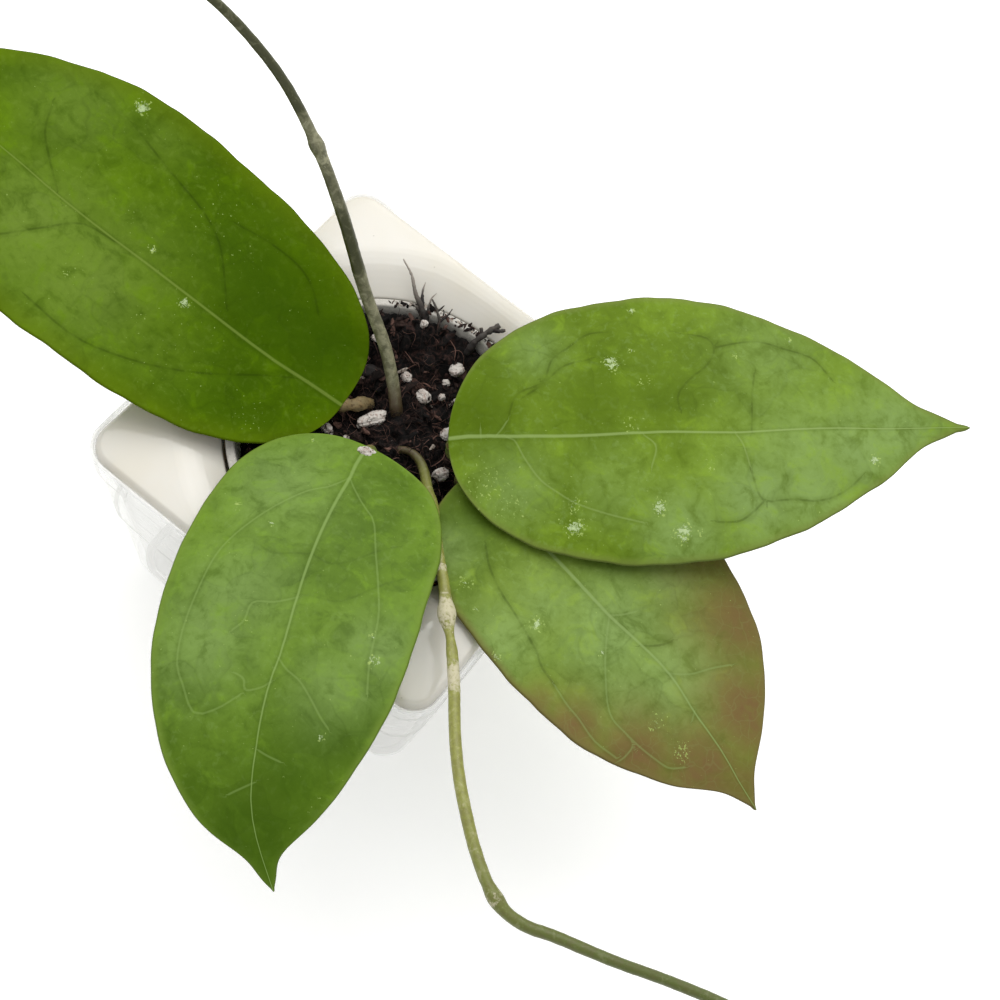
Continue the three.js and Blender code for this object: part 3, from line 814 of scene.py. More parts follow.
@dataclass(frozen=True)
class ClearPlastic:
    """Clear moulded plastic shown as a thin near-white haze, with painted edge lines: more haze at its
    corners and, by a strength at each height where it bends, standing in for reflection and refraction there.
    """

    name: str = "clear_plastic"
    haze: Paint = (238, 238, 236)
    cover: float = 0.2
    corner: float = 0.14
    # heights of the bends, each with the strength of its painted edge line
    bends: tuple[Place, ...] = ((1.0, 0.32), (44.0, 0.26), (70.4, 0.14), (78.6, 0.14))

    def material(self) -> bpy.types.Material:
        """Builds the material.

        Returns:
            The material.
        """
        recipe = Recipe(self.name)
        scuffs = recipe.mottle(recipe.spot((1, 1, 0.25)), 2.2, 4, 0.7)
        place = recipe.axes(recipe.spot())
        aside = recipe.plus(recipe.size(place["X"]), recipe.size(place["Y"]))
        # more haze at the corners and along each bend: painted lines standing in for the reflection and
        # refraction at the plastic's edges
        cover = recipe.plus(recipe.step(aside, 88.5, 92.5, 0.0, self.corner), self.cover)
        for bend, thick in self.bends:
            gap = recipe.size(recipe.math("SUBTRACT", place["Z"], bend))
            cover = recipe.plus(recipe.step(gap, 0.9, 0.3, 0.0, thick), cover)
        recipe.coat(1, self.haze, gain=1.0)
        return recipe.done(
            Roughness=0.06, Alpha=recipe.math("MINIMUM", cover, 0.8), Specular_IOR_Level=1.0, IOR=1.6,
            Normal=recipe.bump(scuffs, 0.05, 0.3),
        )


@dataclass(frozen=True)
class CupPlastic:
    """Milky translucent plastic of the thin inner cup, stained by the soil."""

    name: str = "translucent_plastic"
    milk: Paint = (236, 232, 222)
    dirt: Paint = (92, 74, 58)

    def material(self) -> bpy.types.Material:
        """Builds the material.

        Returns:
            The material.
        """
        recipe = Recipe(self.name)
        dirt = recipe.mottle(recipe.spot(), 3.2, 5, 0.75, 0.5)
        recipe.coat(1, self.milk)
        recipe.coat(recipe.step(dirt, 0.58, 0.74, 0.0, 0.7), self.dirt)
        return recipe.done(
            Roughness=recipe.step(dirt, 0.4, 0.8, 0.25, 0.6), Transmission_Weight=0.15, IOR=1.2,
            Normal=recipe.bump(dirt, 0.15, 0.3),
        )


@dataclass(frozen=True)
class SoilFinish:
    """Damp peat and bark fibre, nearly black, with lighter threads."""

    name: str = "soil"
    dark: Paint = (9, 6, 5)
    brown: Paint = (84, 60, 54)
    thread: Paint = (164, 124, 110)
    mineral: Paint = (214, 200, 186)

    def material(self) -> bpy.types.Material:
        """Builds the material.

        Returns:
            The material.
        """
        recipe = Recipe(self.name)
        spot = recipe.spot()
        tone = recipe.value(Field.TONE)
        recipe.coat(1, self.dark)
        recipe.coat(recipe.step(recipe.mottle(spot, 2.4, 6, 0.72, 0.8), 0.5, 0.68), self.brown)
        recipe.coat(recipe.step(tone, 0.0, 1.0), self.thread)
        recipe.coat(recipe.step(tone, 1.4, 1.8), self.mineral)
        return recipe.done(
            Roughness=recipe.step(recipe.mottle(spot, 5, 2), 0.55, 0.7, 0.85, 0.4), Specular_IOR_Level=0.22,
            Normal=recipe.bump(recipe.mottle(spot, 0.7, 5, 0.75), 0.6, 1.0),
        )


@dataclass(frozen=True)
class GrainFinish:
    """Expanded white mineral grains with pits and earthy stains."""

    name: str = "perlite"
    white: Paint = (236, 229, 220)
    stain: Paint = (158, 124, 108)
    pit: Paint = (60, 44, 36)

    def material(self) -> bpy.types.Material:
        """Builds the material.

        Returns:
            The material.
        """
        recipe = Recipe(self.name)
        spot = recipe.spot()
        stains = recipe.mottle(spot, 1.7, 4, 0.7, 0.4)
        pits = recipe.step(recipe.cells(recipe.warp(spot, 0.8, 0.3), 0.7), 0.34, 0.14)
        recipe.coat(1, self.white)
        recipe.coat(recipe.step(stains, 0.46, 0.68, 0.0, 0.8), self.stain)
        recipe.coat(recipe.times(pits, recipe.step(stains, 0.38, 0.56)), self.pit)
        return recipe.done(Roughness=0.8, Normal=recipe.bump(recipe.mottle(spot, 0.5, 4, 0.7), 0.25, 0.8))


@dataclass(frozen=True)
class BarkFinish:
    """Dry bark, twig and root skin."""

    name: str = "bark"
    dark: Paint = (16, 10, 8)
    brown: Paint = (54, 38, 30)
    bleached: Paint = (206, 196, 182)

    def material(self) -> bpy.types.Material:
        """Builds the material.

        Returns:
            The material.
        """
        recipe = Recipe(self.name)
        grain = recipe.mottle(recipe.spot((1, 1, 2.5)), 1.3, 5, 0.7, 1.2)
        recipe.coat(1, self.dark)
        recipe.coat(recipe.step(grain, 0.4, 0.72), self.brown)
        recipe.coat(recipe.value(Field.TONE), self.bleached)
        rough = recipe.step(grain, 0.3, 0.7, 0.6, 0.9)
        return recipe.done(Roughness=rough, Normal=recipe.bump(grain, 0.35, 0.9))


@dataclass(frozen=True)
class StudioFloor:
    """Plain pale paper."""

    name: str = "studio_paper"
    pigment: tuple[float, ...] = (0.9, 0.9, 0.895, 1)
    glow: float = 0.27

    def material(self) -> bpy.types.Material:
        """Builds the material.

        Returns:
            The material.
        """
        return Recipe(self.name).done(
            Base_Color=self.pigment, Roughness=0.9, Specular_IOR_Level=0.1,
            Emission_Color=(1, 1, 1, 1), Emission_Strength=self.glow,
        )


# ---- the pot ------------------------------------------------------------------------------


@dataclass
class PotOutline:
    """Outlines that the pot's shells share: a rounded square seen from above, and circles."""

    half: float = 50.0
    corner: float = 6.5
    corner_points: int = 9
    side_points: int = 15

    def angles(self) -> np.ndarray:
        """Polar angles of the outline's points, close together round the corners.

        Returns:
            The angles.
        """
        start = math.atan2(self.half - self.corner, self.half)
        side = np.linspace(-start, start, self.side_points, endpoint=False)
        turn = np.linspace(start, math.pi / 2 - start, self.corner_points, endpoint=False)
        quarter = np.concatenate([side, turn])
        return np.concatenate([quarter + k * math.pi / 2 for k in range(4)])

    def square(self, half: float, corner: float) -> np.ndarray:
        """Distance from the centre to a rounded square at each angle.

        Args:
            half: half the square's side.
            corner: its corner radius.

        Returns:
            The distances in millimetres.
        """
        angles = self.angles()
        x, y = np.abs(np.cos(angles)), np.abs(np.sin(angles))
        to_side = half / np.maximum(x, y)
        middle = half - corner
        root = np.sqrt(np.maximum(0, corner**2 - (middle * (x - y)) ** 2))
        return np.where(to_side * np.minimum(x, y) <= middle, to_side, middle * (x + y) + root)

    def ring(self, radius: np.ndarray | float, height: float) -> np.ndarray:
        """A level ring of points from a radius at each angle.

        Args:
            radius: the radius, one for all angles or one for each.
            height: the ring's height.

        Returns:
            The points, one a row.
        """
        angles = self.angles()
        reach = np.broadcast_to(radius, angles.shape)
        return np.stack([reach * np.cos(angles), reach * np.sin(angles), np.full(len(angles), height)], -1)


OUTLINE = PotOutline()


def loft(name: str, rings: list[np.ndarray], edge: float) -> bpy.types.Object:
    """Draws a shell out of a circle, ring after ring, and closes its two ends.

    Args:
        name: the new object's name.
        rings: the rings from the outer floor over the rim to the inner floor, in millimetres.
        edge: how near a bend the support rings lie, in millimetres.

    Returns:
        The closed shell.
    """
    deselect()
    places = supported(rings, edge)
    bpy.ops.mesh.primitive_circle_add(vertices=len(places[0]), radius=OUTLINE.half * MM)
    piece = bpy.context.object
    piece.name = name
    bpy.ops.object.mode_set(mode="EDIT")
    mesh = bmesh.from_edit_mesh(piece.data)
    spoke = mesh.verts.layers.int.new("spoke")
    for index, vertex in enumerate(mesh.verts):
        vertex[spoke] = index
    bpy.ops.mesh.select_all(action="SELECT")
    for number, ring in enumerate(places):
        if number:
            bpy.ops.mesh.extrude_edges_move()
            mesh = bmesh.from_edit_mesh(piece.data)
            spoke = mesh.verts.layers.int["spoke"]
        for vertex in mesh.verts:
            if vertex.select:
                vertex.co = ring[vertex[spoke]] * MM
    close_ends()
    return piece


def supported(rings: list[np.ndarray], edge: float) -> list[np.ndarray]:
    """Adds rings close to both ends of each long stretch, so that bends stay crisp.

    Args:
        rings: the rings of the bends.
        edge: how near a bend a support ring lies.

    Returns:
        The rings with those added.
    """
    places = [rings[0]]
    for low, high in zip(rings, rings[1:]):
        length = float(np.linalg.norm(high - low, axis=1).max())
        if length > 3 * edge:
            places += [lerp(low, high, edge / length), lerp(low, high, 1 - edge / length)]
        places.append(high)
    return places


def drill(piece: bpy.types.Object, circle: float, radius: float, count: int, low: float, high: float) -> None:
    """Cuts a ring of upright round holes through a floor.

    Args:
        piece: the shell.
        circle: radius of the circle that the holes stand on, in millimetres.
        radius: radius of each hole.
        count: how many holes.
        low: height where the cutters start.
        high: height where they end.
    """
    for number in range(count):
        angle = FULL_TURN * number / count
        deselect()
        place = (circle * math.cos(angle) * MM, circle * math.sin(angle) * MM, (low + high) / 2 * MM)
        bpy.ops.mesh.primitive_cylinder_add(
            vertices=32, radius=radius * MM, depth=(high - low) * MM, location=place,
        )
        cutter = bpy.context.object
        bpy.ops.object.transform_apply(location=True, rotation=True, scale=True)
        apply_modifier(piece, "BOOLEAN", operation="DIFFERENCE", object=cutter, solver="EXACT")
        bpy.data.objects.remove(cutter)


@dataclass
class Container:
    """The clear outer box, as (half side, corner radius, height) from the outer floor to the inner one."""

    profile: tuple[Point, ...] = (
        (43.6, 7.6, 0.0), (45.9, 8.8, 0.5), (47.1, 9.2, 1.6), (47.9, 9.5, 4.0), (48.4, 9.5, 8.0),
        (49.4, 9.0, 43.0), (49.7, 8.9, 43.9), (50.1, 8.8, 44.6), (50.7, 8.6, 69.3), (50.9, 8.5, 70.1),
        (51.2, 8.4, 70.6), (51.4, 8.4, 71.4), (51.4, 8.4, 78.2), (51.3, 8.2, 78.7), (51.0, 7.9, 79.0),
        (50.7, 7.2, 79.0), (50.4, 6.9, 78.8), (50.3, 6.8, 78.2), (50.3, 6.8, 75.9), (50.0, 6.8, 75.7),
        (49.1, 6.6, 75.7), (48.9, 6.7, 75.2), (47.7, 7.4, 43.2), (46.2, 7.8, 6.4), (45.4, 7.8, 3.6),
        (43.6, 7.3, 2.3), (41.0, 6.5, 2.2),
    )
    edge: float = 0.45

    def build(self) -> bpy.types.Object:
        """Builds the box.

        Returns:
            The dressed box.
        """
        rings = [OUTLINE.ring(OUTLINE.square(half, corner), height) for half, corner, height in self.profile]
        piece = loft("container_shell", rings, self.edge)
        apply_modifier(piece, "SUBSURF", levels=1, render_levels=1)
        dress(piece, ClearPlastic().material())
        return settle(piece, "clear_plastic", "outer_container")


@dataclass
class Insert:
    """The cream insert: a square plate with flat corners, a dish that falls to a round opening, a basket."""

    opening: float = 39.4
    opening_height: float = 75.8
    top: float = 80.0
    wall: float = 1.8
    flat_corner: float = 52.0
    basket_floor: float = 18.0
    basket_bottom: float = 29.0
    dish_steps: int = 8
    edge: float = 0.4
    fold_inset: float = 1.6
    drain_circle: float = 17
    drain_radius: float = 2.6
    drains: int = 6

    def fold(self) -> np.ndarray:
        """Where the flat edge and corners turn down into the dish, at each angle."""
        half, corner = OUTLINE.half - self.fold_inset, OUTLINE.corner - self.fold_inset
        return np.minimum(OUTLINE.square(half, corner), self.flat_corner)

    def plate(self, inset: float, height: float) -> np.ndarray:
        """A square ring of the plate, so far inside its outline and at this height."""
        return OUTLINE.ring(OUTLINE.square(OUTLINE.half - inset, OUTLINE.corner - inset), height)

    def dish(self, share: float, sink: float) -> np.ndarray:
        """A ring on the dished slope: share 0 is the round opening, share 1 the fold."""
        height = self.opening_height + (self.top - self.opening_height) * math.sin(share * math.pi / 2) - sink
        return OUTLINE.ring(lerp(self.opening + sink * 0.6, self.fold(), share), height)

    def build(self) -> bpy.types.Object:
        """Builds the insert.

        Returns:
            The dressed insert.
        """
        ring, plate, dish = OUTLINE.ring, self.plate, self.dish
        top, wall, mouth, mouth_height = self.top, self.wall, self.opening, self.opening_height
        floor, bottom = self.basket_floor, self.basket_bottom
        under = top - wall
        rings = [
            ring(bottom + wall - 1.5, floor - wall), ring(bottom + wall - 0.4, floor - wall + 0.4),
            ring(bottom + wall, floor), ring(mouth + wall - 0.6, mouth_height - 6),
            dish(0.2, wall), dish(0.5, wall), dish(0.8, wall), ring(self.fold() - 0.6, under),
            plate(1.9, under - 0.1), plate(1.5, under - 0.5), plate(1.4, top - 3.8), plate(1.2, top - 4.0),
            plate(0.2, top - 4.0), plate(0, top - 3.8), plate(0, top - 1.6), plate(0.35, top - 0.75),
            plate(1.1, top - 0.15),
            *[dish(1 - step / self.dish_steps, 0) for step in range(self.dish_steps)],
            dish(0, 0), ring(mouth - 0.2, mouth_height - 0.6), ring(mouth - 0.5, mouth_height - 2.5),
            ring(bottom + 0.4, floor + 2), ring(bottom - 0.3, floor + 0.5), ring(bottom - 1.6, floor),
        ]
        piece = loft("insert_shell", rings, self.edge)
        apply_modifier(piece, "SUBSURF", levels=1, render_levels=1)
        drill(piece, self.drain_circle, self.drain_radius, self.drains, floor - wall - 1, floor + 1)
        dress(piece, CreamPlastic().material())
        return settle(piece, "cream_plastic", "drop_in_insert")


@dataclass
class Cup:
    """The thin inner cup with its flat rim ring."""

    floor: float = 18.4
    ring_height: float = 77.0
    ring_radius: float = 38.5
    ring_thickness: float = 1.1
    top: float = 37.4
    bottom: float = 27.2
    wall: float = 1.0
    edge: float = 0.3
    drain_circle: float = 17
    drain_radius: float = 2.0
    drains: int = 6

    def radius(self, height: float) -> float:
        """Outer radius of the wall at a height."""
        return lerp(self.bottom, self.top, (height - self.floor) / (self.ring_height - self.floor))

    def build(self) -> bpy.types.Object:
        """Builds the cup.

        Returns:
            The dressed cup.
        """
        floor, bottom, rim, top = self.floor, self.bottom, self.ring_radius, self.ring_height
        under, mouth, inside = top - self.ring_thickness, self.top - self.wall, bottom - self.wall
        profile = [
            (bottom - 1.2, floor), (bottom - 0.3, floor + 0.3), (bottom, floor + 1.2),
            (self.radius(under), under), (rim - 0.15, under), (rim, under + 0.15), (rim, top - 0.25),
            (rim - 0.25, top), (mouth + 0.3, top), (mouth, top - 0.2), (mouth - 0.1, top - 0.6),
            (inside, floor + 1.8), (inside - 0.2, floor + 1.2), (inside - 0.8, floor + 1.0),
        ]
        piece = loft("cup_shell", [OUTLINE.ring(radius, height) for radius, height in profile], self.edge)
        apply_modifier(piece, "SUBSURF", levels=1, render_levels=1)
        drill(piece, self.drain_circle, self.drain_radius, self.drains, floor - 1, floor + 2)
        dress(piece, CupPlastic().material())
        return settle(piece, "translucent_plastic", "inner_cup")


# ---- soil and grains ----------------------------------------------------------------------


def soil_height(x: float, y: float) -> float:
    """Mean height of the soil's surface at a place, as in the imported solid.

    Args:
        x: the place along X.
        y: the place along Y.

    Returns:
        The height in millimetres.
    """
    coarse = 0.8 * np.sin(x * 0.23 + 1.1) * np.cos(y * 0.19 - 0.6)
    fine = 0.5 * np.sin(x * 0.71 - y * 0.53) + 0.35 * np.cos(x * 0.47 + y * 0.93)
    banked = BANK_HEIGHT * smoothstep(0.83 * y - 0.55 * x, 20, 34)
    return float(SOIL_TOP + coarse + fine + banked)


@dataclass
class Soil:
    """The rough fill of the cup, with loose crumbs and fibres on it."""

    cup: Cup
    cells: int = 190
    crumbs: int = 1000
    fibres: int = 1500
    dirt: int = 120
    seed: int = 11
    waist: float = 69.0
    wall_heights: Place = (60.0, 40.0)
    crumb_shape: Point = (2.1, 0.8, 0.55)
    mineral_share: float = 0.09
    mineral_tone: float = 2.0
    fibre_steps: int = 7
    fibre_sides: int = 3

    def edge(self, height: float) -> float:
        """Radius of the fill at a height."""
        return self.cup.radius(height) - self.cup.wall - 0.12

    def build(self) -> bpy.types.Object:
        """Builds the fill and what lies on it.

        Returns:
            The fill.
        """
        finish = SoilFinish().material()
        fill, crumbs, fibres = self.fill(), self.crumb_bed(), self.fibre_mat()
        for piece in (fill, crumbs, fibres):
            dress(piece, finish)
        crumbs.data.shade_flat()
        settle(crumbs, "soil")
        settle(fibres, "soil")
        return settle(fill, "soil", "soil")

    def fill(self) -> bpy.types.Object:
        """The body: a fine grid cut round, roughened, and drawn down to the cup's floor.

        Returns:
            The body, which has gaps in its wall and an open floor, both hidden in the cup.
        """
        deselect()
        reach = self.edge(self.waist)
        bpy.ops.mesh.primitive_grid_add(
            x_subdivisions=self.cells, y_subdivisions=self.cells, size=2 * (reach + 1) * MM,
        )
        piece = bpy.context.object
        piece.name = "soil_fill"
        bpy.ops.object.mode_set(mode="EDIT")
        mesh = bmesh.from_edit_mesh(piece.data)
        bpy.ops.mesh.select_all(action="DESELECT")
        for vertex in mesh.verts:
            vertex.select = vertex.co.xy.length > (reach + 0.2) * MM
        mesh.select_flush_mode()
        bpy.ops.mesh.delete(type="VERT")
        mesh = bmesh.from_edit_mesh(piece.data)
        rim = {v for e in mesh.edges if e.is_boundary for v in e.verts}
        for vertex in rim:
            vertex.co.xy = vertex.co.xy.normalized() * reach * MM
        self.roughen(mesh)
        for height in (*self.wall_heights, self.cup.floor + 2.6, self.cup.floor + 1.5):
            bpy.ops.mesh.select_all(action="DESELECT")
            mesh = bmesh.from_edit_mesh(piece.data)
            for edge in mesh.edges:
                edge.select = edge.is_boundary
            mesh.select_flush_mode()
            bpy.ops.mesh.extrude_edges_move()
            mesh = bmesh.from_edit_mesh(piece.data)
            out = self.edge(height) - (1.0 if height < self.cup.floor + 2 else 0.0)
            for vertex in mesh.verts:
                if vertex.select:
                    vertex.co.xy = vertex.co.xy.normalized() * out * MM
                    vertex.co.z = height * MM
        close_ends()
        carry(piece, Field.TONE, np.zeros(len(piece.data.vertices)))
        return piece

    def roughen(self, mesh: bmesh.types.BMesh) -> None:
        """Raises clods and sinks pits in the top of the fill.

        Args:
            mesh: the flat top, in edit mode.
        """
        for vertex in mesh.verts:
            x, y = vertex.co.x / MM, vertex.co.y / MM
            spot = Vector((x, y, 0))
            clods = noise.fractal(spot / 4.2, 0.8, 2.1, 4)
            ridges = noise.ridged_multi_fractal(spot / 2.6, 0.9, 2.1, 3, 1.0, 2.0)
            vertex.co.z = (soil_height(x, y) + 1.5 * clods + 0.7 * (ridges - 1.1) - 0.5) * MM

    def crumb_bed(self) -> bpy.types.Object:
        """Loose crumbs and chips of bark, each a rough lump of a few dozen faces.

        Returns:
            The crumbs as one mesh object.
        """
        deselect()
        bpy.ops.mesh.primitive_ico_sphere_add(subdivisions=2, radius=MM)
        model = bpy.context.object
        shape = coordinates(model)
        faces = [tuple(f.vertices) for f in model.data.polygons]
        bpy.data.objects.remove(model)
        random = np.random.default_rng(self.seed)
        points, polygons, tones = [], [], []
        for number in range(self.crumbs):
            on_ring = number < self.dirt
            radius = self.edge(self.waist) * math.sqrt(random.random()) - 0.6
            angle = random.random() * FULL_TURN
            if on_ring:
                radius, angle = self.cup.top + random.normal() * 0.5, 1.3 + 0.95 * random.random()
            x, y = radius * math.cos(angle), radius * math.sin(angle)
            size = (0.16 + 0.4 * random.random() ** 2) if on_ring else 0.3 + 0.9 * random.random() ** 3
            stretch = np.array(self.crumb_shape) * (0.6 + 0.8 * random.random(3)) * size
            bumps = 1 + 0.34 * np.sin(shape @ random.normal(size=(3, 3)) * 3.2).sum(1) / 1.7
            turn = Matrix.Rotation(random.random() * 6.28, 3, "Z")
            turn = turn @ Matrix.Rotation(random.normal() * 0.6, 3, "Y")
            lump = (shape * bumps[:, None] * stretch) @ np.array(turn).T
            ground = self.cup.ring_height if on_ring else soil_height(x, y)
            polygons += [tuple(len(points) * len(shape) + i for i in face) for face in faces]
            points.append(lump + [x, y, ground + 0.35 * size])
            mineral = size < 0.75 and random.random() < self.mineral_share
            tone = self.mineral_tone if mineral else 0.02 + 0.55 * random.random() ** 4
            tones.append(np.full(len(shape), tone))
        return self.gather("soil_crumbs", np.vstack(points), polygons, np.concatenate(tones))

    def fibre_mat(self) -> bpy.types.Object:
        """Fine curled fibres that lie on the fill, each a thin closed tube.

        Returns:
            The fibres as one mesh object.
        """
        random = np.random.default_rng(self.seed + 1)
        steps, sides = self.fibre_steps, self.fibre_sides
        points, polygons, tones = [], [], []
        count = 0
        for _ in range(self.fibres):
            radius = (self.edge(self.waist) - 3) * math.sqrt(random.random())
            angle, heading = random.random() * FULL_TURN, random.random() * FULL_TURN
            curl = random.normal() * 0.3
            thickness = 0.06 + 0.16 * random.random() ** 3
            stride = 0.4 + 0.7 * random.random()
            place = np.array([radius * math.cos(angle), radius * math.sin(angle)])
            rings = []
            arch = 0.3 + 2.0 * random.random() ** 2
            rest = 0.2 + 0.9 * random.random()
            for step in range(steps):
                share = step / (steps - 1)
                height = soil_height(*place) + rest + arch * math.sin(share * math.pi)
                middle = np.array([*place, height])
                across = np.array([-math.sin(heading), math.cos(heading), 0])
                thin = thickness * (1 - 0.75 * share)
                rings += [
                    middle + thin * (math.cos(a) * across + math.sin(a) * np.array([0, 0, 1]))
                    for a in np.arange(sides) * FULL_TURN / sides
                ]
                place = place + stride * np.array([math.cos(heading), math.sin(heading)])
                heading += curl + random.normal() * 0.15
            for step in range(steps - 1):
                for side in range(sides):
                    a, b = count + step * sides + side, count + step * sides + (side + 1) % sides
                    polygons.append((a, b, b + sides, a + sides))
            polygons.append(tuple(count + side for side in reversed(range(sides))))
            polygons.append(tuple(count + (steps - 1) * sides + side for side in range(sides)))
            points += rings
            tones += [0.04 + 0.9 * random.random() ** 3] * len(rings)
            count += len(rings)
        return self.gather("soil_fibres", np.array(points), polygons, np.array(tones))

    def gather(self, name: str, points: np.ndarray, polygons: list, tones: np.ndarray) -> bpy.types.Object:
        """One mesh from many small closed ones.

        Args:
            name: the object's name.
            points: their vertices in millimetres.
            polygons: their faces.
            tones: how light each vertex is.

        Returns:
            The object.
        """
        mesh = bpy.data.meshes.new(name)
        mesh.from_pydata((points * MM).tolist(), [], polygons)
        piece = link(name, mesh)
        weld(piece, 1e-9)
        carry(piece, Field.TONE, tones)
        return piece


@dataclass
class Grain:
    """One loose lump of perlite or bark: where it lies, its size, turn and how far it stands out."""

    node: str
    place: Place
    size: Point
    turn: float
    proud: float
    seed: int
    flaky: bool = False
    lift: float = 0.0

    def build(self, material: bpy.types.Material, slot: str) -> bpy.types.Object:
        """Builds the lump from a fine sphere.

        Args:
            material: its material.
            slot: the record's material slot.

        Returns:
            The dressed lump.
        """
        deselect()
        bpy.ops.mesh.primitive_ico_sphere_add(subdivisions=5 if not self.flaky else 4, radius=MM)
        piece = bpy.context.object
        piece.name = f"{self.node}_lump"
        shape = coordinates(piece)
        swell = 0.26 * cloud(shape, 0.8, self.seed, 2)
        swell = swell - 0.14 * np.abs(cloud(shape, 0.3, self.seed + 40, 2))
        if self.flaky:
            swell += 0.10 * np.abs(cloud(shape * [0.5, 1.2, 4.0], 0.8, self.seed))
        shape = shape * (0.96 + swell)[:, None] * (np.array(self.size) / 2)
        angle = math.radians(self.turn)
        cosine, sine = math.cos(angle), math.sin(angle)
        spin = np.array([[cosine, -sine, 0], [sine, cosine, 0], [0, 0, 1]])
        x, y = self.place
        height = soil_height(x, y) + self.size[2] * (self.proud - 0.5) + self.lift
        set_coordinates(piece, shape @ spin.T + [x, y, height])
        dress(piece, material)
        return settle(piece, slot, *(() if self.lift else (self.node,)))


@dataclass(frozen=True)
class Root:
    """A root or twig: a gnarled tube that tapers from the soil to its tip, with short side branches."""

    node: str
    thick: float
    thin: float
    route: tuple[Point, ...]
    branches: tuple[tuple[Point, ...], ...] = ()
    bleach: float = 0.15

    def build(self, wood: bpy.types.Material) -> bpy.types.Object:
        """Builds the root with its branches.

        Args:
            wood: its material.

        Returns:
            The dressed root.
        """
        pieces = [self.strand(self.route, self.thick, self.thin)]
        pieces += [self.strand(route, self.thick * 0.45, self.thin * 0.6) for route in self.branches]
        piece = join(pieces, f"{self.node}_skin") if len(pieces) > 1 else pieces[0]
        dress(piece, wood)
        return settle(piece, "bark", self.node)

    def strand(self, route: tuple[Point, ...], thick: float, thin: float) -> bpy.types.Object:
        """One tapered strand, gnarled and bleached towards its tip.

        Args:
            route: given points from the soil to the tip.
            thick: radius at the soil.
            thin: radius at the tip.

        Returns:
            The tube.
        """
        line = smooth_route(list(route), 80)
        share = np.linspace(0, 1, len(line))
        radii = lerp(thick, thin, share**0.8) * (1 + 0.3 * cloud(line, 1.3, self.thick * 9, 2))
        piece = tube(f"{self.node}_skin", line, np.maximum(radii, 0.1), 10)
        points = coordinates(piece)
        along = nearest_share(points, line)
        gnarl = 0.28 * cloud(points, 0.8, 3, 2) * lerp(thick, thin, along)
        set_coordinates(piece, points + normals(piece) * gnarl[:, None])
        carry(piece, Field.TONE, self.bleach * smoothstep(along, 0.45, 1.0))
        return piece


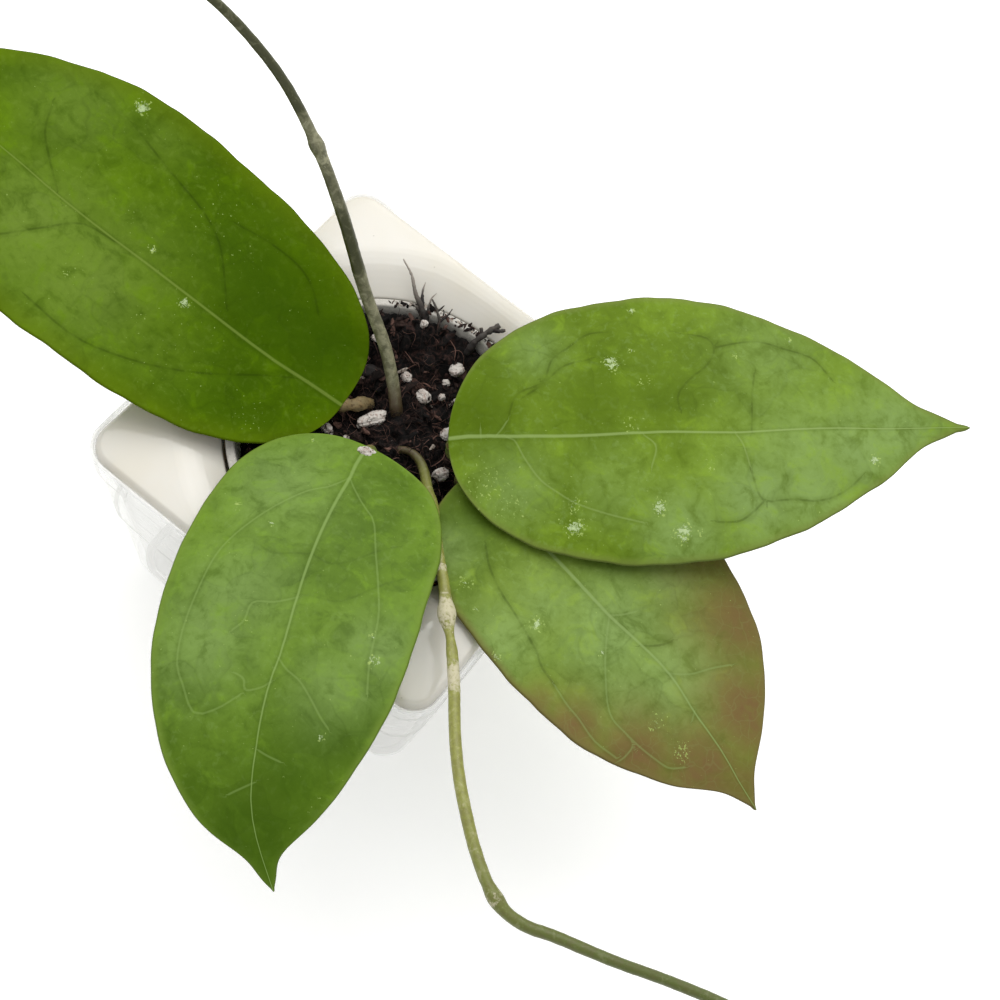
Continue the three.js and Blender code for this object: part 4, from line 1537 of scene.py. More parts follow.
@dataclass
class Substrate:
    """Everything loose in the cup: perlite, bark chips, two roots and a twig."""

    perlite: tuple[tuple[Place, Point, float, float], ...] = (
        ((-1.5, 17.2), (4.2, 3.8, 3.4), 20, 0.8), ((1.8, 20.6), (2.2, 1.9, 1.8), 60, 0.75),
        ((-8, 18.4), (3.2, 2.9, 2.6), 10, 0.7), ((0.2, 24.6), (2.3, 2.1, 2), 40, 0.8),
        ((0.4, 28.4), (4.4, 3.6, 3.2), 75, 0.8), ((5.4, 22.6), (2.4, 2, 1.9), 130, 0.7),
        ((-7.2, 3.6), (8.6, 3.9, 3.4), 62, 0.8), ((-13.6, -5.8), (4, 2.6, 2.4), -10, 0.7),
        ((-8.6, -4.6), (1.9, 1.7, 1.6), 80, 0.8), ((9.6, 13.2), (4.6, 3.4, 3.2), 70, 0.85),
        ((15.6, 2.4), (4.4, 3.4, 4.2), 50, 1.5), ((-13, 31), (2.4, 2.1, 2), 95, 0.75),
        ((-20, 20.6), (3, 2.4, 2.2), 30, 0.7), ((-24, -14), (3.4, 2.8, 2.6), 140, 0.7),
        ((2, -24), (3.6, 2.9, 2.6), 55, 0.7), ((27, 12), (3.2, 2.6, 2.4), 5, 0.7),
    )
    bark: tuple[tuple[Place, Point, float, float], ...] = (
        ((-16, 13.6), (7.5, 4, 2.4), 35, 0.6), ((8.8, 29), (8, 4.2, 2.6), 110, 0.6),
        ((-22, 6), (6, 3.4, 2.2), 150, 0.6), ((-20, -24), (7.4, 4.4, 2.6), 75, 0.6),
    )
    stray: Grain = field(
        default_factory=lambda: Grain("leaf_foot", (-0.1, -8.4), (4.6, 3.0, 2.6), 30, 0.5, 31, lift=11.6)
    )
    roots: tuple[Root, ...] = (
        Root("root_long", 1.6, 0.16, (
            (-11.6, 29.4, 64), (-12.6, 31.4, 73), (-15.4, 33, 77.4), (-19.2, 34.6, 79.4), (-22.8, 37.2, 81),
            (-27, 38.8, 82.2),
        ), (
            ((-12.6, 31.4, 73), (-14.4, 34, 77.2), (-15.6, 36.8, 78.6), (-15.4, 38.4, 79.2)),
            ((-13.8, 32.2, 75.5), (-17.4, 32.4, 78.2), (-19.4, 31.8, 79)),
            ((-15.4, 33, 77.2), (-18.2, 36.2, 79.2), (-19.4, 38.8, 79.6)),
        ), 0.75),
        Root("root_short", 0.85, 0.25, (
            (-7, 27, 65), (-8.6, 31.4, 73), (-10.2, 33.4, 77.2), (-12.4, 34.8, 79), (-14.9, 35.8, 80),
        ), (
            ((-10.2, 33.4, 77), (-9.6, 36.2, 78.2), (-9.8, 38, 78.4)),
            ((-12, 34.6, 78.6), (-11.6, 36.8, 79.6)),
        )),
        Root("twig", 1.15, 0.75, (
            (-1.4, 29.6, 64), (-0.4, 32.6, 73), (0.2, 35.4, 77.6), (1.2, 38.4, 79.2), (2.6, 41.4, 80.6),
        ), (
            ((1.6, 39.2, 79.6), (3.6, 40, 80.6), (4.6, 41, 81)),
            ((0.6, 37, 78.6), (-0.8, 38.2, 79.4)),
        )),
    )

    def build(self) -> None:
        """Builds every loose piece."""
        mineral = GrainFinish().material()
        for number, (place, size, turn, proud) in enumerate(self.perlite, 1):
            Grain(f"perlite_{number}", place, size, turn, proud, number).build(mineral, "perlite")
        self.stray.build(mineral, "perlite")
        wood = BarkFinish().material()
        for number, (place, size, turn, proud) in enumerate(self.bark, 1):
            Grain(f"bark_chip_{number}", place, size, turn, proud, 50 + number, True).build(wood, "bark")
        for root in self.roots:
            root.build(wood)


# ---- leaves -------------------------------------------------------------------------------


@dataclass
class Wash:
    """A soft round patch on a blade."""

    place: Place
    radius: float
    strength: float


def trace(*marks: int) -> tuple[Place, ...]:
    """A route on a blade.

    Args:
        marks: its places in turn, each as hundredths along the blade and hundredths across it.

    Returns:
        The places as shares.
    """
    return tuple((along / 100, across / 100) for along, across in zip(marks[::2], marks[1::2]))


def washes(*marks: tuple[float, ...]) -> tuple[Wash, ...]:
    """Soft patches on a blade.

    Args:
        marks: for each, hundredths along and across, its radius in millimetres, its strength in hundredths.

    Returns:
        The patches.
    """
    return tuple(
        Wash((along / 100, across / 100), radius, power / 100) for along, across, radius, power in marks
    )


@dataclass
class Leaf:
    """One leaf. Places on its blade are (share of its length, share of its half width, left above 0)."""

    node: str
    slot: str
    finish: LeafFinish
    foot: Place
    base: Point
    length: float
    left: float
    right: float
    widest: float
    tip_fullness: float
    tip_point: float
    heading: float
    bend: float
    rise: float
    droop: float
    bank: float
    cup: float
    lobe: float
    wave: float
    waves: float
    midrib: tuple[Place, ...] = ((0, 0), (1, 0))
    veins: tuple[tuple[Place, ...], ...] = ()
    net: tuple[tuple[Place, ...], ...] = ()
    deep: tuple[Wash, ...] = ()
    # patches of painted sheen, where the leaf would reflect the window
    painted_sheen: tuple[Wash, ...] = ()
    blush: tuple[Wash, ...] = ()
    speckles: tuple[Wash, ...] = ()
    rib_width: float = 0.55
    pinch: tuple[float, float, float] = (0.0, 0.94, 0.05)
    finger: float = 0.9
    hook: float = 0.0
    shoulder: float = 0.0
    ripple: float = 0.3
    stalk_paint: Paint = (116, 136, 62)
    stalk_lumps: float = 0.12
    rows: int = 232
    columns: int = 122
    stations: int = 300
    plump: float = 1.5
    middle_thickness: float = 1.35
    margin_thickness: float = 0.8
    foot_height: float = 56.0
    stalk_radius: float = 1.5
    rib_shares: tuple[float, ...] = (0.015, 0.05, 0.1, 0.2, 0.35, 0.5, 0.65, 0.8, 0.92)

    def width(self, share: np.ndarray) -> np.ndarray:
        """Width of the blade at a share of its length, as a share of its greatest width.

        Args:
            share: shares of the length.

        Returns:
            The widths, from 0 to 1.
        """
        to_base = np.clip((self.widest - share) / self.widest, 0, 1)
        to_tip = np.clip((share - self.widest) / (1 - self.widest), 0, 1)
        tip = np.maximum(0, 1 - to_tip**self.tip_fullness) ** self.tip_point
        return np.where(share < self.widest, np.sqrt(np.maximum(0, 1 - to_base**2.4)), tip)

    def half_width(self, share: np.ndarray, across: np.ndarray) -> np.ndarray:
        """Half width on the side that across is on, with a rippled margin and a drawn-out tip.

        Args:
            share: shares of the length.
            across: shares of the half width.

        Returns:
            The half widths in millimetres.
        """
        depth, at, reach = self.pinch
        half = np.where(across > 0, self.left, self.right) * self.width(share)
        half = half * (1 - depth * bell(share - at, reach))
        side = np.where(across > 0, 0.0, 2.1)
        run = share * self.length + self.length
        ripple = 0.7 * np.sin(run * 0.29 + side) + 0.45 * np.sin(run * 0.61 + 2 * side)
        ripple = ripple + 0.1 * np.sin(run * 1.3 + side)
        half = half + self.ripple * ripple * np.minimum(1, half / 12)
        finger = self.finger * np.sqrt(np.clip(1 - ((share - 0.86) / 0.14).clip(0) ** 2, 0.01, 1))
        return np.maximum(half, np.where(share > 0.5, finger, 1.5 - share))

    def flat(self, share: np.ndarray, across: np.ndarray) -> np.ndarray:
        """Places on the blade laid flat, in millimetres."""
        bent = self.hook * np.clip((share - 0.86) / 0.14, 0, 1) ** 2
        return np.stack([share * self.length, across * self.half_width(share, across) + bent], -1)

    def surface(self, share: np.ndarray, across: np.ndarray) -> tuple[np.ndarray, np.ndarray]:
        """Points of the blade's middle surface and its up direction there.

        Args:
            share: shares of the length.
            across: shares of the half width.

        Returns:
            The points in millimetres and the unit vectors.
        """
        station = np.linspace(0, 1, self.stations)
        turn = np.radians(self.heading + self.bend * station)
        slope = np.radians(self.rise - self.droop * station)
        forward = np.stack([np.cos(slope) * np.cos(turn), np.cos(slope) * np.sin(turn), np.sin(slope)], -1)
        steps = (forward[1:] + forward[:-1]) / 2 * self.length / (self.stations - 1)
        spine = np.array(self.base) + np.vstack([np.zeros(3), np.cumsum(steps, 0)])
        level = np.stack([-np.sin(turn), np.cos(turn), 0 * turn], -1)
        bank = math.radians(self.bank)
        left = level * math.cos(bank) + np.cross(forward, level) * math.sin(bank)
        up = np.cross(forward, left)

        def at(line: np.ndarray) -> np.ndarray:
            """A line of vectors read at the shares."""
            return np.stack([np.interp(share, station, line[:, axis]) for axis in range(3)], -1)

        width = self.width(share)
        aside = self.flat(share, across)[:, 1]
        outward = np.abs(across) * width
        margin = self.wave * outward**3 * np.sin(FULL_TURN * self.waves * share + across)
        back = self.lobe * outward**2 * (1 - share) ** 4
        back += np.where(across < 0, self.shoulder, 0.0) * outward**2 * (1 - share) ** 8
        lift = self.cup * outward**2 + margin
        points = at(spine) + at(left) * aside[:, None] + at(up) * lift[:, None] - at(forward) * back[:, None]
        return points, at(up)

    def lines(self, routes: tuple[tuple[Place, ...], ...]) -> list[np.ndarray]:
        """Routes on the blade as smooth lines laid flat.

        Args:
            routes: routes in shares.

        Returns:
            One array of points for each route.
        """
        found = []
        for route in routes:
            places = np.array(route, float)
            corners = self.flat(places[:, 0], places[:, 1])
            found.append(smooth_route([tuple(c) for c in corners], max(6, 3 * len(route))))
        return found

    def build(self) -> bpy.types.Object:
        """Builds the blade and its petiole.

        Returns:
            The dressed leaf.
        """
        deselect()
        bpy.ops.mesh.primitive_grid_add(x_subdivisions=self.rows, y_subdivisions=self.columns, size=2)
        piece = bpy.context.object
        piece.name = f"{self.node}_blade"
        grid = coordinates(piece) * MM
        share = (1 - np.cos((grid[:, 0] + 1) / 2 * math.pi)) / 2 * 0.45 + (grid[:, 0] + 1) / 2 * 0.55
        side = grid[:, 1]
        across = 1.25 * side - 0.25 * side**5
        spots = self.flat(share, across)
        points, up = self.surface(share, across)
        routes = {Field.RIB: (self.midrib,), Field.VEIN: self.veins, Field.NET: self.net}
        offsets = {name: signed_gaps(self.lines(found), spots) for name, found in routes.items()}
        near = np.min([np.abs(gap) for gap in offsets.values()], axis=0)
        points += up * self.relief(share, spots, offsets)[:, None]
        set_coordinates(piece, points)
        painted = {
            Field.DEEP: self.deep, Field.BLOOM: self.painted_sheen, Field.BLUSH: self.blush,
            Field.SPECKLE: self.speckles,
        }
        values = {
            **offsets,
            Field.RIB: offsets[Field.RIB] / (self.rib_width * (1.15 - 0.95 * share)),
            Field.NEAR: near,
            Field.MARGIN: (1 - np.abs(across)) * self.half_width(share, across),
            **{name: self.painted(marks, spots) for name, marks in painted.items()},
        }
        for name, value in values.items():
            carry(piece, name, value)
        self.thicken(piece, across)
        stalk = self.petiole()
        for name in (Field.RIB, Field.VEIN, Field.NET, Field.NEAR, Field.MARGIN):
            carry(stalk, name, np.full(len(stalk.data.vertices), OFF_BLADE))
        dress(piece, self.finish.material(), UndersideFinish(f"{self.node}_underside").material())
        dress(stalk, StalkFinish(f"{self.node}_petiole", self.stalk_paint).material())
        join([piece, stalk], f"{self.node}_blade")
        return settle(piece, self.slot, self.node)

    def relief(self, share: np.ndarray, spots: np.ndarray, gaps: dict[Field, np.ndarray]) -> np.ndarray:
        """How far the blade's face stands out at each spot: grooves at the veins and soft quilting.

        Args:
            share: each spot's share of the length.
            spots: the spots laid flat.
            gaps: signed distances from the midrib, the veins and the net.

        Returns:
            The heights in millimetres.
        """
        inside = np.minimum(1, self.width(share) * 2)
        flat = np.column_stack([spots, np.full(len(spots), self.length)])
        height = -0.35 * bell(gaps[Field.RIB], 2.5) * inside
        height += 0.14 * bell(gaps[Field.RIB], 0.7) * inside * (1 - share)
        height -= 0.2 * bell(gaps[Field.VEIN], 1.9) * inside
        height += 0.05 * bell(gaps[Field.VEIN], 0.5) * inside
        height -= 0.1 * bell(gaps[Field.NET], 1.6) * inside
        height += inside * (0.5 * cloud(flat, 26, self.heading) + 0.11 * cloud(flat, 9, self.heading + 5))
        return height

    def painted(self, washes: tuple[Wash, ...], spots: np.ndarray) -> np.ndarray:
        """The strength of a set of washes at each spot.

        Args:
            washes: the soft patches.
            spots: the spots laid flat.

        Returns:
            Strengths from 0 to 1.
        """
        total = np.zeros(len(spots))
        for wash in washes:
            centre = self.flat(np.array([wash.place[0]]), np.array([wash.place[1]]))[0]
            gap = np.linalg.norm(spots - centre, axis=1)
            total = np.maximum(total, wash.strength * bell(gap, wash.radius))
        return np.clip(total, 0, 1)

    def thicken(self, piece: bpy.types.Object, across: np.ndarray) -> None:
        """Gives the blade its thickness, thinner to the margin and round at its edge.

        Args:
            piece: the blade, one sheet.
            across: each vertex's share of the half width.
        """
        thickness = lerp(self.middle_thickness, self.margin_thickness, np.abs(across))
        rounding = np.sqrt(np.clip(1 - ((np.abs(across) - 0.97) / 0.03).clip(0, 1) ** 2, 0.05, 1))
        group = piece.vertex_groups.new(name="thickness")
        weights = thickness / self.plump * rounding
        for index, weight in enumerate(weights):
            group.add([index], float(weight), "REPLACE")
        apply_modifier(
            piece, "SOLIDIFY", thickness=self.plump * MM, offset=0.0, vertex_group="thickness",
            material_offset=1, material_offset_rim=0, use_even_offset=False,
        )
        piece.vertex_groups.clear()

    def petiole(self) -> bpy.types.Object:
        """The stalk from the soil to the blade, and on below it as the raised midrib.

        Returns:
            The stalk.
        """
        x, y = self.foot
        start = np.array([x, y, SOIL_TOP])
        base = np.array(self.base)
        route = [(x, y, self.foot_height), tuple(start), tuple(lerp(start, base, 0.6))]
        rib = np.array(self.midrib)
        shares = np.array(self.rib_shares)
        points, up = self.surface(shares, np.interp(shares, rib[:, 0], rib[:, 1]))
        sunk = np.maximum(0.72, lerp(1.55, 0.6, np.minimum(1, shares * 2)))
        route += [tuple(p) for p in points - up * sunk[:, None]]
        line = smooth_route(route, 170)
        run = run_along(line)
        free = run[np.linalg.norm(line - np.array(route[3]), axis=1).argmin()]
        under = np.clip((run - free) / (run[-1] - free), 0, 1)
        radii = np.where(run < free, self.stalk_radius, lerp(1.3, 0.35, under**0.55))
        knuckles = 0.35 * bell(run - free + 2.2, 1.2) + 0.3 * bell(run - free + 6, 1.6)
        radii = radii + knuckles + self.stalk_lumps * cloud(line, 2.0, self.length) * (run < free)
        stalk = tube(f"{self.node}_stalk", line, radii, 14)
        points = coordinates(stalk)
        above = (nearest_share(points, line) < free / run[-1])[:, None]
        gnarl = self.stalk_lumps * cloud(points, 1.5, 3, 2)[:, None] * above
        set_coordinates(stalk, points + normals(stalk) * gnarl)
        return stalk


def signed_gaps(lines: list[np.ndarray], spots: np.ndarray) -> np.ndarray:
    """Distance of each spot from the nearest of several lines, below 0 on a line's right side.

    Args:
        lines: the lines laid flat, in millimetres.
        spots: the spots laid flat.

    Returns:
        The signed distances in millimetres.
    """
    best = np.full(len(spots), NO_LINE)
    for line in lines:
        for start, end in zip(line, line[1:]):
            along = end - start
            reach = spots - start
            share = np.clip(reach @ along / max(along @ along, 1e-9), 0, 1)
            gap = np.linalg.norm(reach - share[:, None] * along, axis=1)
            side = np.where(along[0] * reach[:, 1] - along[1] * reach[:, 0] < 0, -1.0, 1.0)
            nearer = gap < np.abs(best)
            best[nearer] = (gap * side)[nearer]
    return best


def foliage() -> list[Leaf]:
    """The four leaves, with what the eye can tell apart on each.

    Returns:
        The leaves.
    """
    # each leaf's sheen washes are painted sheen, standing in for the window's reflection
    return [
        Leaf(
            "leaf_back_left", "dark_leaf",
            LeafFinish(
                "dark_leaf", fresh=(97, 131, 3), deep=(62, 94, 0), painted_sheen=(126, 154, 60), vein=(136, 160, 70),
                margin=(106, 130, 10), margin_reach=7.0, band=0.45, gloss=0.02,
            ),
            foot=(-10.8, 6.7), base=(-13.8, -0.4, 75), length=130, left=32.6, right=33.2, widest=0.46,
            tip_fullness=2.73, tip_point=1.0, heading=189, bend=-1, rise=23, droop=12, bank=-4, cup=1,
            lobe=2.7, wave=0.6, waves=2.5,
            midrib=trace(0, 0, 8, 4, 15, 7, 39, 7, 61, 6, 75, 2, 100, 0),
            net=(
                trace(11, 12, 15, 25, 25, 54, 35, 72, 45, 83, 55, 80),
                trace(50, 8, 56, 12, 61, 35, 65, 57, 70, 80),
                trace(15, -57, 19, -68, 23, -71, 30, -66, 36, -60),
                trace(28, -5, 32, -24, 36, -40, 41, -50, 51, -60, 60, -72),
                trace(63, 2, 67, -12, 71, -31, 73, -55),
            ),
            deep=washes(
                (22, -35, 22, 100), (34, -30, 15, 60), (10, -40, 16, 100), (42, -30, 12, 30),
                (30, 20, 12, 30), (16, 45, 14, 60), (25, 75, 10, 40),
            ),
            painted_sheen=washes(
                (50, 40, 18, 85), (62, 35, 18, 90), (35, 55, 12, 30), (70, -60, 14, 60), (55, -75, 8, 40),
            ),
            speckles=washes(
                (61, -87, 2.2, 100), (34, 14, 1.8, 100), (39, 42, 2.2, 42), (44, -4, 1.2, 90),
                (13, 71, 6, 26), (53, 49, 3, 40), (39, -55, 8, 24), (31, -50, 5, 24), (51, -18, 2, 40),
                (30, 50, 14, 20),
            ),
            rib_width=0.52, shoulder=20.0, ripple=0.2, stalk_paint=(140, 124, 88), stalk_lumps=0.42,
        ),
        Leaf(
            "leaf_front_left", "green_leaf",
            LeafFinish(
                "green_leaf_left", fresh=(118, 153, 42), deep=(66, 98, 2), painted_sheen=(136, 166, 88),
                vein=(156, 186, 104), margin=(128, 157, 60), net=0.5, shift=40,
            ),
            foot=(-1.6, -4.4), base=(0.1, -6.5, 80), length=109, left=28.2, right=28.2, widest=0.36,
            tip_fullness=2.9, tip_point=1.16, heading=-82, bend=38, rise=24, droop=42, bank=7, cup=-3,
            lobe=8.5, wave=0.5, waves=3,
            midrib=trace(0, -10, 4, -5, 11, 1, 19, 2, 34, 3, 54, 3, 61, -1, 72, -5, 85, -10, 100, 0),
            veins=(
                trace(
                    11, 1, 16, -13, 18, -23, 22, -35, 29, -52, 37, -67, 46, -73, 55, -77, 60, -77, 63, -72,
                    68, -62, 67, -43, 64, -23,
                ),
                trace(61, -1, 62, -6, 63, -20, 61, -22, 60, -30),
                trace(43, 3, 45, -12, 46, -28, 50, -31, 52, -38),
                trace(11, 1, 17, 25, 20, 38, 28, 49, 36, 60, 43, 67, 54, 71, 61, 77),
                trace(56, 2, 58, 10, 60, 22, 63, 33, 67, 47, 69, 56),
                trace(74, -3, 75, 7, 76, 20),
                trace(80, -7, 81, -22, 82, -37),
            ),
            net=(
                trace(42, 6, 42, 14, 42, 33, 40, 45, 36, 60, 33, 75),
                trace(33, 5, 34, 19, 32, 34, 28, 49, 25, 64),
                trace(33, 1, 34, -12, 35, -24, 34, -41),
            ),
            deep=washes(
                (89, 10, 20, 100), (80, 30, 14, 100), (74, 50, 12, 80), (26, 30, 12, 50), (34, 20, 10, 40),
                (82, -50, 12, 70), (17, -78, 1.6, 90), (8, 50, 9, 50),
            ),
            painted_sheen=washes(
                (20, -50, 14, 90), (44, -45, 13, 90), (54, -60, 12, 100), (50, 75, 9, 90), (60, 50, 10, 70),
                (7, -60, 10, 50),
            ),
            speckles=washes(
                (29, -37, 0.9, 100), (53, 74, 2, 95), (48, 67, 1.4, 80), (71, 53, 1.1, 90), (50, -31, 3, 34),
                (6, -74, 1, 80), (27, -72, 1.6, 60),
            ),
            rib_width=0.5, pinch=(0.42, 0.95, 0.045), finger=1.25, hook=2.6, ripple=0.12,
        ),
        Leaf(
            "leaf_right", "green_leaf",
            LeafFinish(
                "green_leaf_right", fresh=(127, 158, 40), deep=(88, 116, 0), painted_sheen=(148, 178, 102),
                vein=(168, 194, 116), margin=(128, 144, 68), shift=90, gloss=0.05,
            ),
            foot=(16.2, 8.8), base=(13.3, 6.1, 84), length=129, left=36.7, right=32.1, widest=0.4,
            tip_fullness=2.0, tip_point=1.4, heading=37.5, bend=6, rise=17, droop=22, bank=3, cup=-3,
            lobe=2.6, wave=0.5, waves=2.5,
            midrib=trace(0, 2, 5, 2, 11, 0, 24, -2, 39, -1, 53, -3, 71, -1, 83, -3, 100, 0),
            veins=(
                trace(9, 2, 10, 8, 11, 15),
                trace(6, 2, 6, 11),
                trace(11, -1, 12, -3, 14, -22, 17, -41, 20, -50, 23, -57, 29, -64, 35, -69),
                trace(36, -3, 38, -12, 37, -28),
                trace(53, -4, 54, -12, 55, -32),
            ),
            net=(
                trace(55, -32, 56, -56, 57, -63, 62, -68, 68, -79, 73, -80, 76, -73),
                trace(57, -63, 54, -72, 52, -75, 48, -72),
                trace(43, 15, 43, 25, 46, 38, 49, 47, 51, 61, 50, 69, 44, 72),
                trace(51, 62, 56, 69, 60, 74, 65, 75, 70, 74, 73, 57),
                trace(56, -3, 57, 27, 58, 45),
                trace(30, 75, 27, 75, 23, 66, 20, 60, 18, 42, 14, 33),
                trace(11, 14, 13, 37, 18, 42, 22, 52, 27, 55),
            ),
            deep=washes(
                (28, 25, 14, 80), (40, 30, 13, 70), (6, 30, 12, 100), (8, -12, 8, 80), (46, 45, 10, 50),
                (20, 50, 9, 60),
            ),
            painted_sheen=washes(
                (30, -45, 10, 40), (42, -75, 10, 90), (56, -60, 12, 100), (76, -32, 13, 100), (17, 72, 7, 60),
                (66, -30, 18, 80), (84, -10, 15, 90), (12, -55, 10, 60), (62, 60, 14, 50), (66, -65, 14, 90),
                (72, 15, 12, 40),
            ),
            speckles=washes(
                (31, 50, 2.8, 100), (38, -59, 2.4, 100), (42, -78, 2.8, 100), (23, -77, 2.6, 100),
                (23, -58, 1.8, 90), (79, -56, 1.6, 100), (7, -62, 8, 42), (12, -72, 6, 40), (37, 36, 3, 50),
                (48, -30, 2.4, 50), (45, -79, 1.2, 90), (36, 89, 1.2, 100), (66, 85, 1.4, 80),
                (55, 57, 1.2, 70), (35, 58, 0.9, 90), (22, -68, 5.5, 45), (34, 5, 4, 45),
            ),
            rib_width=0.6, pinch=(0.2, 0.9, 0.05), finger=1.8, ripple=0.22,
        ),
        Leaf(
            "leaf_front_right", "blushed_leaf",
            LeafFinish(
                "blushed_leaf", fresh=(136, 164, 58), deep=(84, 114, 18), painted_sheen=(154, 184, 106),
                vein=(160, 186, 114), margin=(130, 118, 68), blush=(132, 104, 66), shift=140, gloss=0.05,
            ),
            foot=(20, 5), base=(21.3, 3.9, 79), length=104, left=31.4, right=28.6, widest=0.42,
            tip_fullness=2.74, tip_point=1.33, heading=-6.5, bend=-10, rise=14, droop=30, bank=2, cup=-1,
            lobe=2.6, wave=0.5, waves=2.5,
            midrib=trace(0, 0, 30, -3, 47, -3, 58, 2, 65, 5, 75, 3, 86, 4, 92, 0, 100, 0),
            veins=(
                trace(
                    47, -3, 50, -16, 54, -31, 58, -44, 62, -56, 65, -62, 69, -65, 73, -68, 78, -72, 81, -73,
                    83, -59,
                ),
                trace(47, -3, 49, 7, 50, 14),
                trace(65, 5, 68, 20, 70, 41, 72, 60),
                trace(75, 3, 76, -5),
                trace(51, -76, 56, -80, 60, -82, 66, -88, 72, -92),
                trace(69, -65, 72, -70, 73, -85, 73, -93),
            ),
            net=(
                trace(17, -44, 21, -52, 27, -58, 33, -61, 39, -65, 43, -68, 46, -73, 51, -76),
                trace(57, 3, 59, 13, 60, 23),
            ),
            # The deep patches on the left half, from about a third to half its length near the midrib, lie
            # under leaf_right's edge and are partly painted shadow of that leaf; the rest are its own darker
            # green.
            deep=washes(
                (38, 35, 12, 90), (50, 30, 10, 30), (30, 10, 8, 50), (10, -30, 12, 100), (20, -10, 8, 70),
            ),
            painted_sheen=washes(
                (12, -85, 7, 70), (36, -80, 10, 80), (50, -10, 14, 90), (50, 50, 9, 70), (66, 10, 13, 100),
                (36, -35, 10, 60), (62, -35, 10, 70),
            ),
            blush=washes(
                (48, 95, 13, 85), (66, 90, 15, 92), (82, 70, 14, 100), (62, -95, 9, 100), (75, -85, 12, 100),
                (86, -50, 13, 100), (94, 0, 12, 75), (52, -95, 5, 70), (76, 35, 10, 50),
            ),
            speckles=washes(
                (38, -53, 2, 100), (21, -79, 2.2, 70), (27, -84, 1, 90), (72, -37, 3.5, 50), (80, -45, 3, 65),
                (52, -28, 1.2, 80), (38, -95, 1.6, 80),
            ),
            rib_width=0.72, shoulder=11.0, pinch=(0.25, 0.94, 0.05), finger=1.2, ripple=0.2,
        ),
    ]


# ---- vines --------------------------------------------------------------------------------


@dataclass
class Patch:
    """A pale corky patch round a vine: where along it, how long, and how strong."""

    at: float
    reach: float
    strength: float = 1.0


@dataclass
class Vine:
    """A thin stem with swollen nodes."""

    node: str
    slot: str
    finish: StemFinish
    route: tuple[Point, ...]
    radius: float
    swellings: tuple[tuple[float, float, float], ...]
    taper: tuple[float, float]
    thin_foot: float = 0.0
    thin_tip: float = 0.0
    patches: tuple[Patch, ...] = ()
    tones: tuple[tuple[float, float], ...] = ((0, 0), (1, 0))
    gnarl: float = 0.05
    cork_height: float = 0.05
    spacing: float = 0.42
    sides: int = 20

    def radii(self, share: np.ndarray) -> np.ndarray:
        """Radius at each share of the length.

        Args:
            share: shares of the length.

        Returns:
            The radii in millimetres.
        """
        radius = self.radius - self.thin_foot * (1 - smoothstep(share, 0.06, 0.16))
        radius = radius - self.thin_tip * share
        for at, height, width in self.swellings:
            radius = radius + height * bell(share - at, width)
        start, loss = self.taper
        return radius - loss * np.maximum(0, (share - start) / (1 - start)) ** 2

    def build(self) -> bpy.types.Object:
        """Builds the stem and roughens its skin.

        Returns:
            The dressed vine.
        """
        rough = smooth_route(list(self.route), 200)
        length = float(np.linalg.norm(np.diff(rough, axis=0), axis=1).sum())
        line = smooth_route(list(self.route), int(length / self.spacing))
        share = np.linspace(0, 1, len(line))
        piece = tube(f"{self.node}_skin", line, self.radii(share), self.sides)
        points = coordinates(piece)
        along = nearest_share(points, line)
        rough = self.gnarl * cloud(points, 1.6, 4, 2) + 0.03 * cloud(points, 0.6, 8)
        pale = np.zeros(len(points))
        for patch in self.patches:
            pale = np.maximum(pale, patch.strength * bell((along - patch.at) * length, patch.reach))
        set_coordinates(piece, points + normals(piece) * (rough + self.cork_height * pale)[:, None])
        carry(piece, Field.PALE, pale)
        spots, tones = zip(*self.tones)
        carry(piece, Field.TONE, np.interp(along, spots, tones))
        dress(piece, self.finish.material())
        return settle(piece, self.slot, self.node)


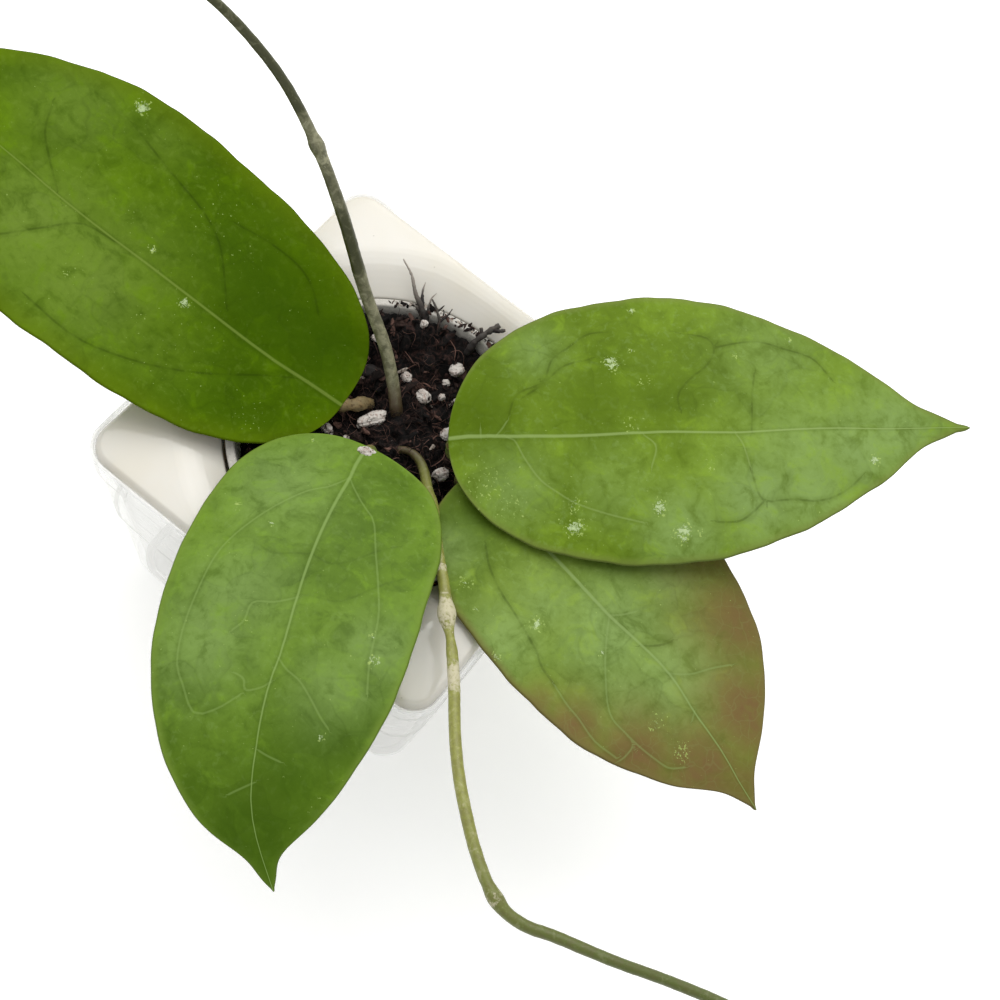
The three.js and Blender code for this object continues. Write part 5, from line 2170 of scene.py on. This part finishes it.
def vines() -> list[Vine]:
    """The two vines.

    Returns:
        The vines.
    """
    return [
        Vine(
            "vine_upright", "woody_stem",
            StemFinish("woody_stem", (158, 156, 122), (66, 68, 22), (188, 186, 152), (58, 60, 20), 0.55),
            (
                (-1.2, 8.2, 56), (-3, 9.2, 63), (-4.6, 10.2, 70), (-8.6, 13.2, 74.5), (-14.5, 16.5, 81),
                (-24.5, 19.4, 93), (-35.6, 23.1, 109), (-45.8, 25.6, 122), (-55.3, 25.7, 134.5),
                (-62.5, 24, 143), (-70.5, 20.5, 152), (-75, 17.4, 156.5),
            ),
            radius=1.74, swellings=((0.647, 0.5, 0.014), (0.4, 0.12, 0.02), (0.52, 0.14, 0.18)),
            taper=(0.96, 0.45), thin_tip=0.77,
            patches=(Patch(0.622, 1.6, 0.9), Patch(0.54, 1.2, 0.35), Patch(0.27, 3, 0.3)),
            # Tones along the stem, 1 being the old, darker colour. The dark stretch up to about share 0.16,
            # where the stem rises from the soil inside the cup, is partly painted shade.
            tones=(
                (0, 1), (0.115, 0.9), (0.14, 0.5), (0.16, 0.25), (0.2, 0.1), (0.235, 0.1), (0.242, 0.5),
                (0.25, 0), (0.3, 0.15), (0.36, 0.35), (0.39, 0.4), (0.41, 1), (0.51, 1), (0.53, 0.7),
                (0.545, 0.35), (0.555, 0.75), (0.58, 0.6), (0.6, 0.3), (0.64, 0.25), (0.69, 0.35),
                (0.71, 0.5), (0.72, 1), (1, 1),
            ),
        ),
        Vine(
            "vine_runner", "green_stem",
            StemFinish("green_stem", (160, 163, 74), (90, 104, 26), (230, 222, 190), (104, 88, 52), 0.25),
            (
                (-2.5, 0.8, 56), (-0.5, 0.8, 65), (2.6, 1.6, 70), (5.8, 2.7, 71.6), (9.2, 1.9, 72.8),
                (12.6, -0.6, 74.4), (16.4, -4.5, 77), (20.2, -7.9, 80), (25.2, -13.8, 83.5),
                (30.8, -19.9, 86), (35.2, -24.1, 87.5), (40.7, -30.2, 89), (46, -35.6, 90.5),
                (50.9, -41.3, 92), (59.3, -52.1, 95), (64.9, -58.2, 96.5), (70.4, -63.3, 98),
                (75.8, -67.7, 99), (81.5, -71.5, 100),
                (85.4, -73.2, 100.2), (88.9, -73.9, 100.2), (93.2, -73.4, 100), (98.6, -71.5, 100),
                (110.3, -68, 100), (122, -63.8, 99), (131.6, -60.8, 98.5), (140, -58.8, 98.6),
            ),
            radius=1.3,
            swellings=((0.367, 0.8, 0.014), (0.396, -0.36, 0.012), (0.702, 0.35, 0.011), (0.89, -0.16, 0.13)),
            taper=(0.975, 0.8), thin_foot=0.45,
            patches=(
                Patch(0.367, 5.2), Patch(0.45, 4.4, 0.95), Patch(0.702, 1.3, 0.6), Patch(0.309, 1.4, 0.8),
            ),
            tones=(
                (0, 1), (0.1, 1), (0.13, 0.5), (0.16, 0.3), (0.3, 0.1), (0.4, 0), (0.58, 0.05), (0.64, 0.3),
                (0.69, 0.6), (0.74, 0.85), (0.86, 1), (1, 1),
            ),
        ),
    ]


# ---- studio -------------------------------------------------------------------------------


@dataclass
class Viewpoint:
    """The camera, as the photograph was taken: where it looks, from where, and how it is tilted."""

    azimuth: float = 15.72
    elevation: float = 65.69
    roll: float = 23.65
    distance: float = 311.11
    target: Point = (31.62, 3.74, 80.0)
    focal_pixels: float = 1300.0
    image_pixels: float = 1000.0
    sensor: float = 36.0

    def build(self) -> bpy.types.Object:
        """Builds the camera.

        Returns:
            The camera.
        """
        turn, lift, roll = (math.radians(a) for a in (self.azimuth, self.elevation, self.roll))
        back = Vector((math.sin(turn) * math.cos(lift), -math.cos(turn) * math.cos(lift), math.sin(lift)))
        level = Vector((math.cos(turn), math.sin(turn), 0))
        over = back.cross(level)
        right = level * math.cos(roll) + over * math.sin(roll)
        up = over * math.cos(roll) - level * math.sin(roll)
        data = bpy.data.cameras.new("viewpoint")
        data.sensor_width = self.sensor
        data.lens = self.sensor * self.focal_pixels / self.image_pixels
        data.clip_start, data.clip_end = 0.01, 20.0
        camera = link("viewpoint", data)
        turned = Matrix((right, up, back)).transposed().to_4x4()
        place = (Vector(self.target) + back * self.distance) * MM
        camera.matrix_world = Matrix.Translation(place) @ turned
        bpy.context.scene.camera = camera
        return camera


@dataclass
class SoftBox:
    """A large soft light: the direction it stands in from the pot, its distance, side and radiant power."""

    name: str
    direction: Point
    distance: float
    side: float
    power: float
    warmth: tuple[float, float, float] = (1, 1, 1)

    def build(self, target: Vector) -> bpy.types.Object:
        """Builds the light, turned to the target.

        Args:
            target: where it points, in metres.

        Returns:
            The light.
        """
        data = bpy.data.lights.new(self.name, "AREA")
        data.shape = "SQUARE"
        data.size = self.side
        data.energy = self.power
        data.color = self.warmth
        light = link(self.name, data)
        away = Vector(self.direction).normalized()
        light.location = target + away * self.distance
        light.rotation_mode = "QUATERNION"
        light.rotation_quaternion = away.to_track_quat("Z", "Y")
        return light


@dataclass
class Studio:
    """Plain pale paper under soft light."""

    sky: float = 0.8
    floor_side: float = 12.0
    target: Vector = field(default_factory=lambda: Vector((0.02, 0, 0.08)))
    lights: tuple[SoftBox, ...] = (
        SoftBox("window", (-0.28, 0.42, 0.86), 1.0, 1.1, 8.4, (1.0, 0.99, 0.97)),
        SoftBox("lamp", (-0.2, 0.65, 0.73), 1.0, 0.5, 1.3, (1.0, 0.98, 0.95)),
    )

    def build(self) -> None:
        """Builds the floor, the surrounding light and the lamps."""
        deselect()
        bpy.ops.mesh.primitive_plane_add(size=self.floor_side, location=(0, 0, -0.0002))
        floor = bpy.context.object
        floor.name = "studio_floor"
        floor.data.materials.append(StudioFloor().material())
        world = bpy.data.worlds.new("studio_air")
        world.use_nodes = True
        background = world.node_tree.nodes["Background"]
        background.inputs["Color"].default_value = (1, 1, 1, 1)
        background.inputs["Strength"].default_value = self.sky
        bpy.context.scene.world = world
        for light in self.lights:
            light.build(self.target)
        bpy.context.scene.view_settings.view_transform = "Standard"
        log.info("studio: floor, sky and %d lamps", len(self.lights))


# ---- build --------------------------------------------------------------------------------


def main() -> None:
    """Builds the plant and its studio in order."""
    logging.basicConfig(level=logging.INFO, format="%(name)s: %(message)s")
    Viewpoint().build()
    Studio().build()
    Container().build()
    Insert().build()
    cup = Cup()
    cup.build()
    Soil(cup).build()
    Substrate().build()
    for leaf in foliage():
        leaf.build()
    for vine in vines():
        vine.build()
    deselect()


if __name__ == "__main__":
    main()
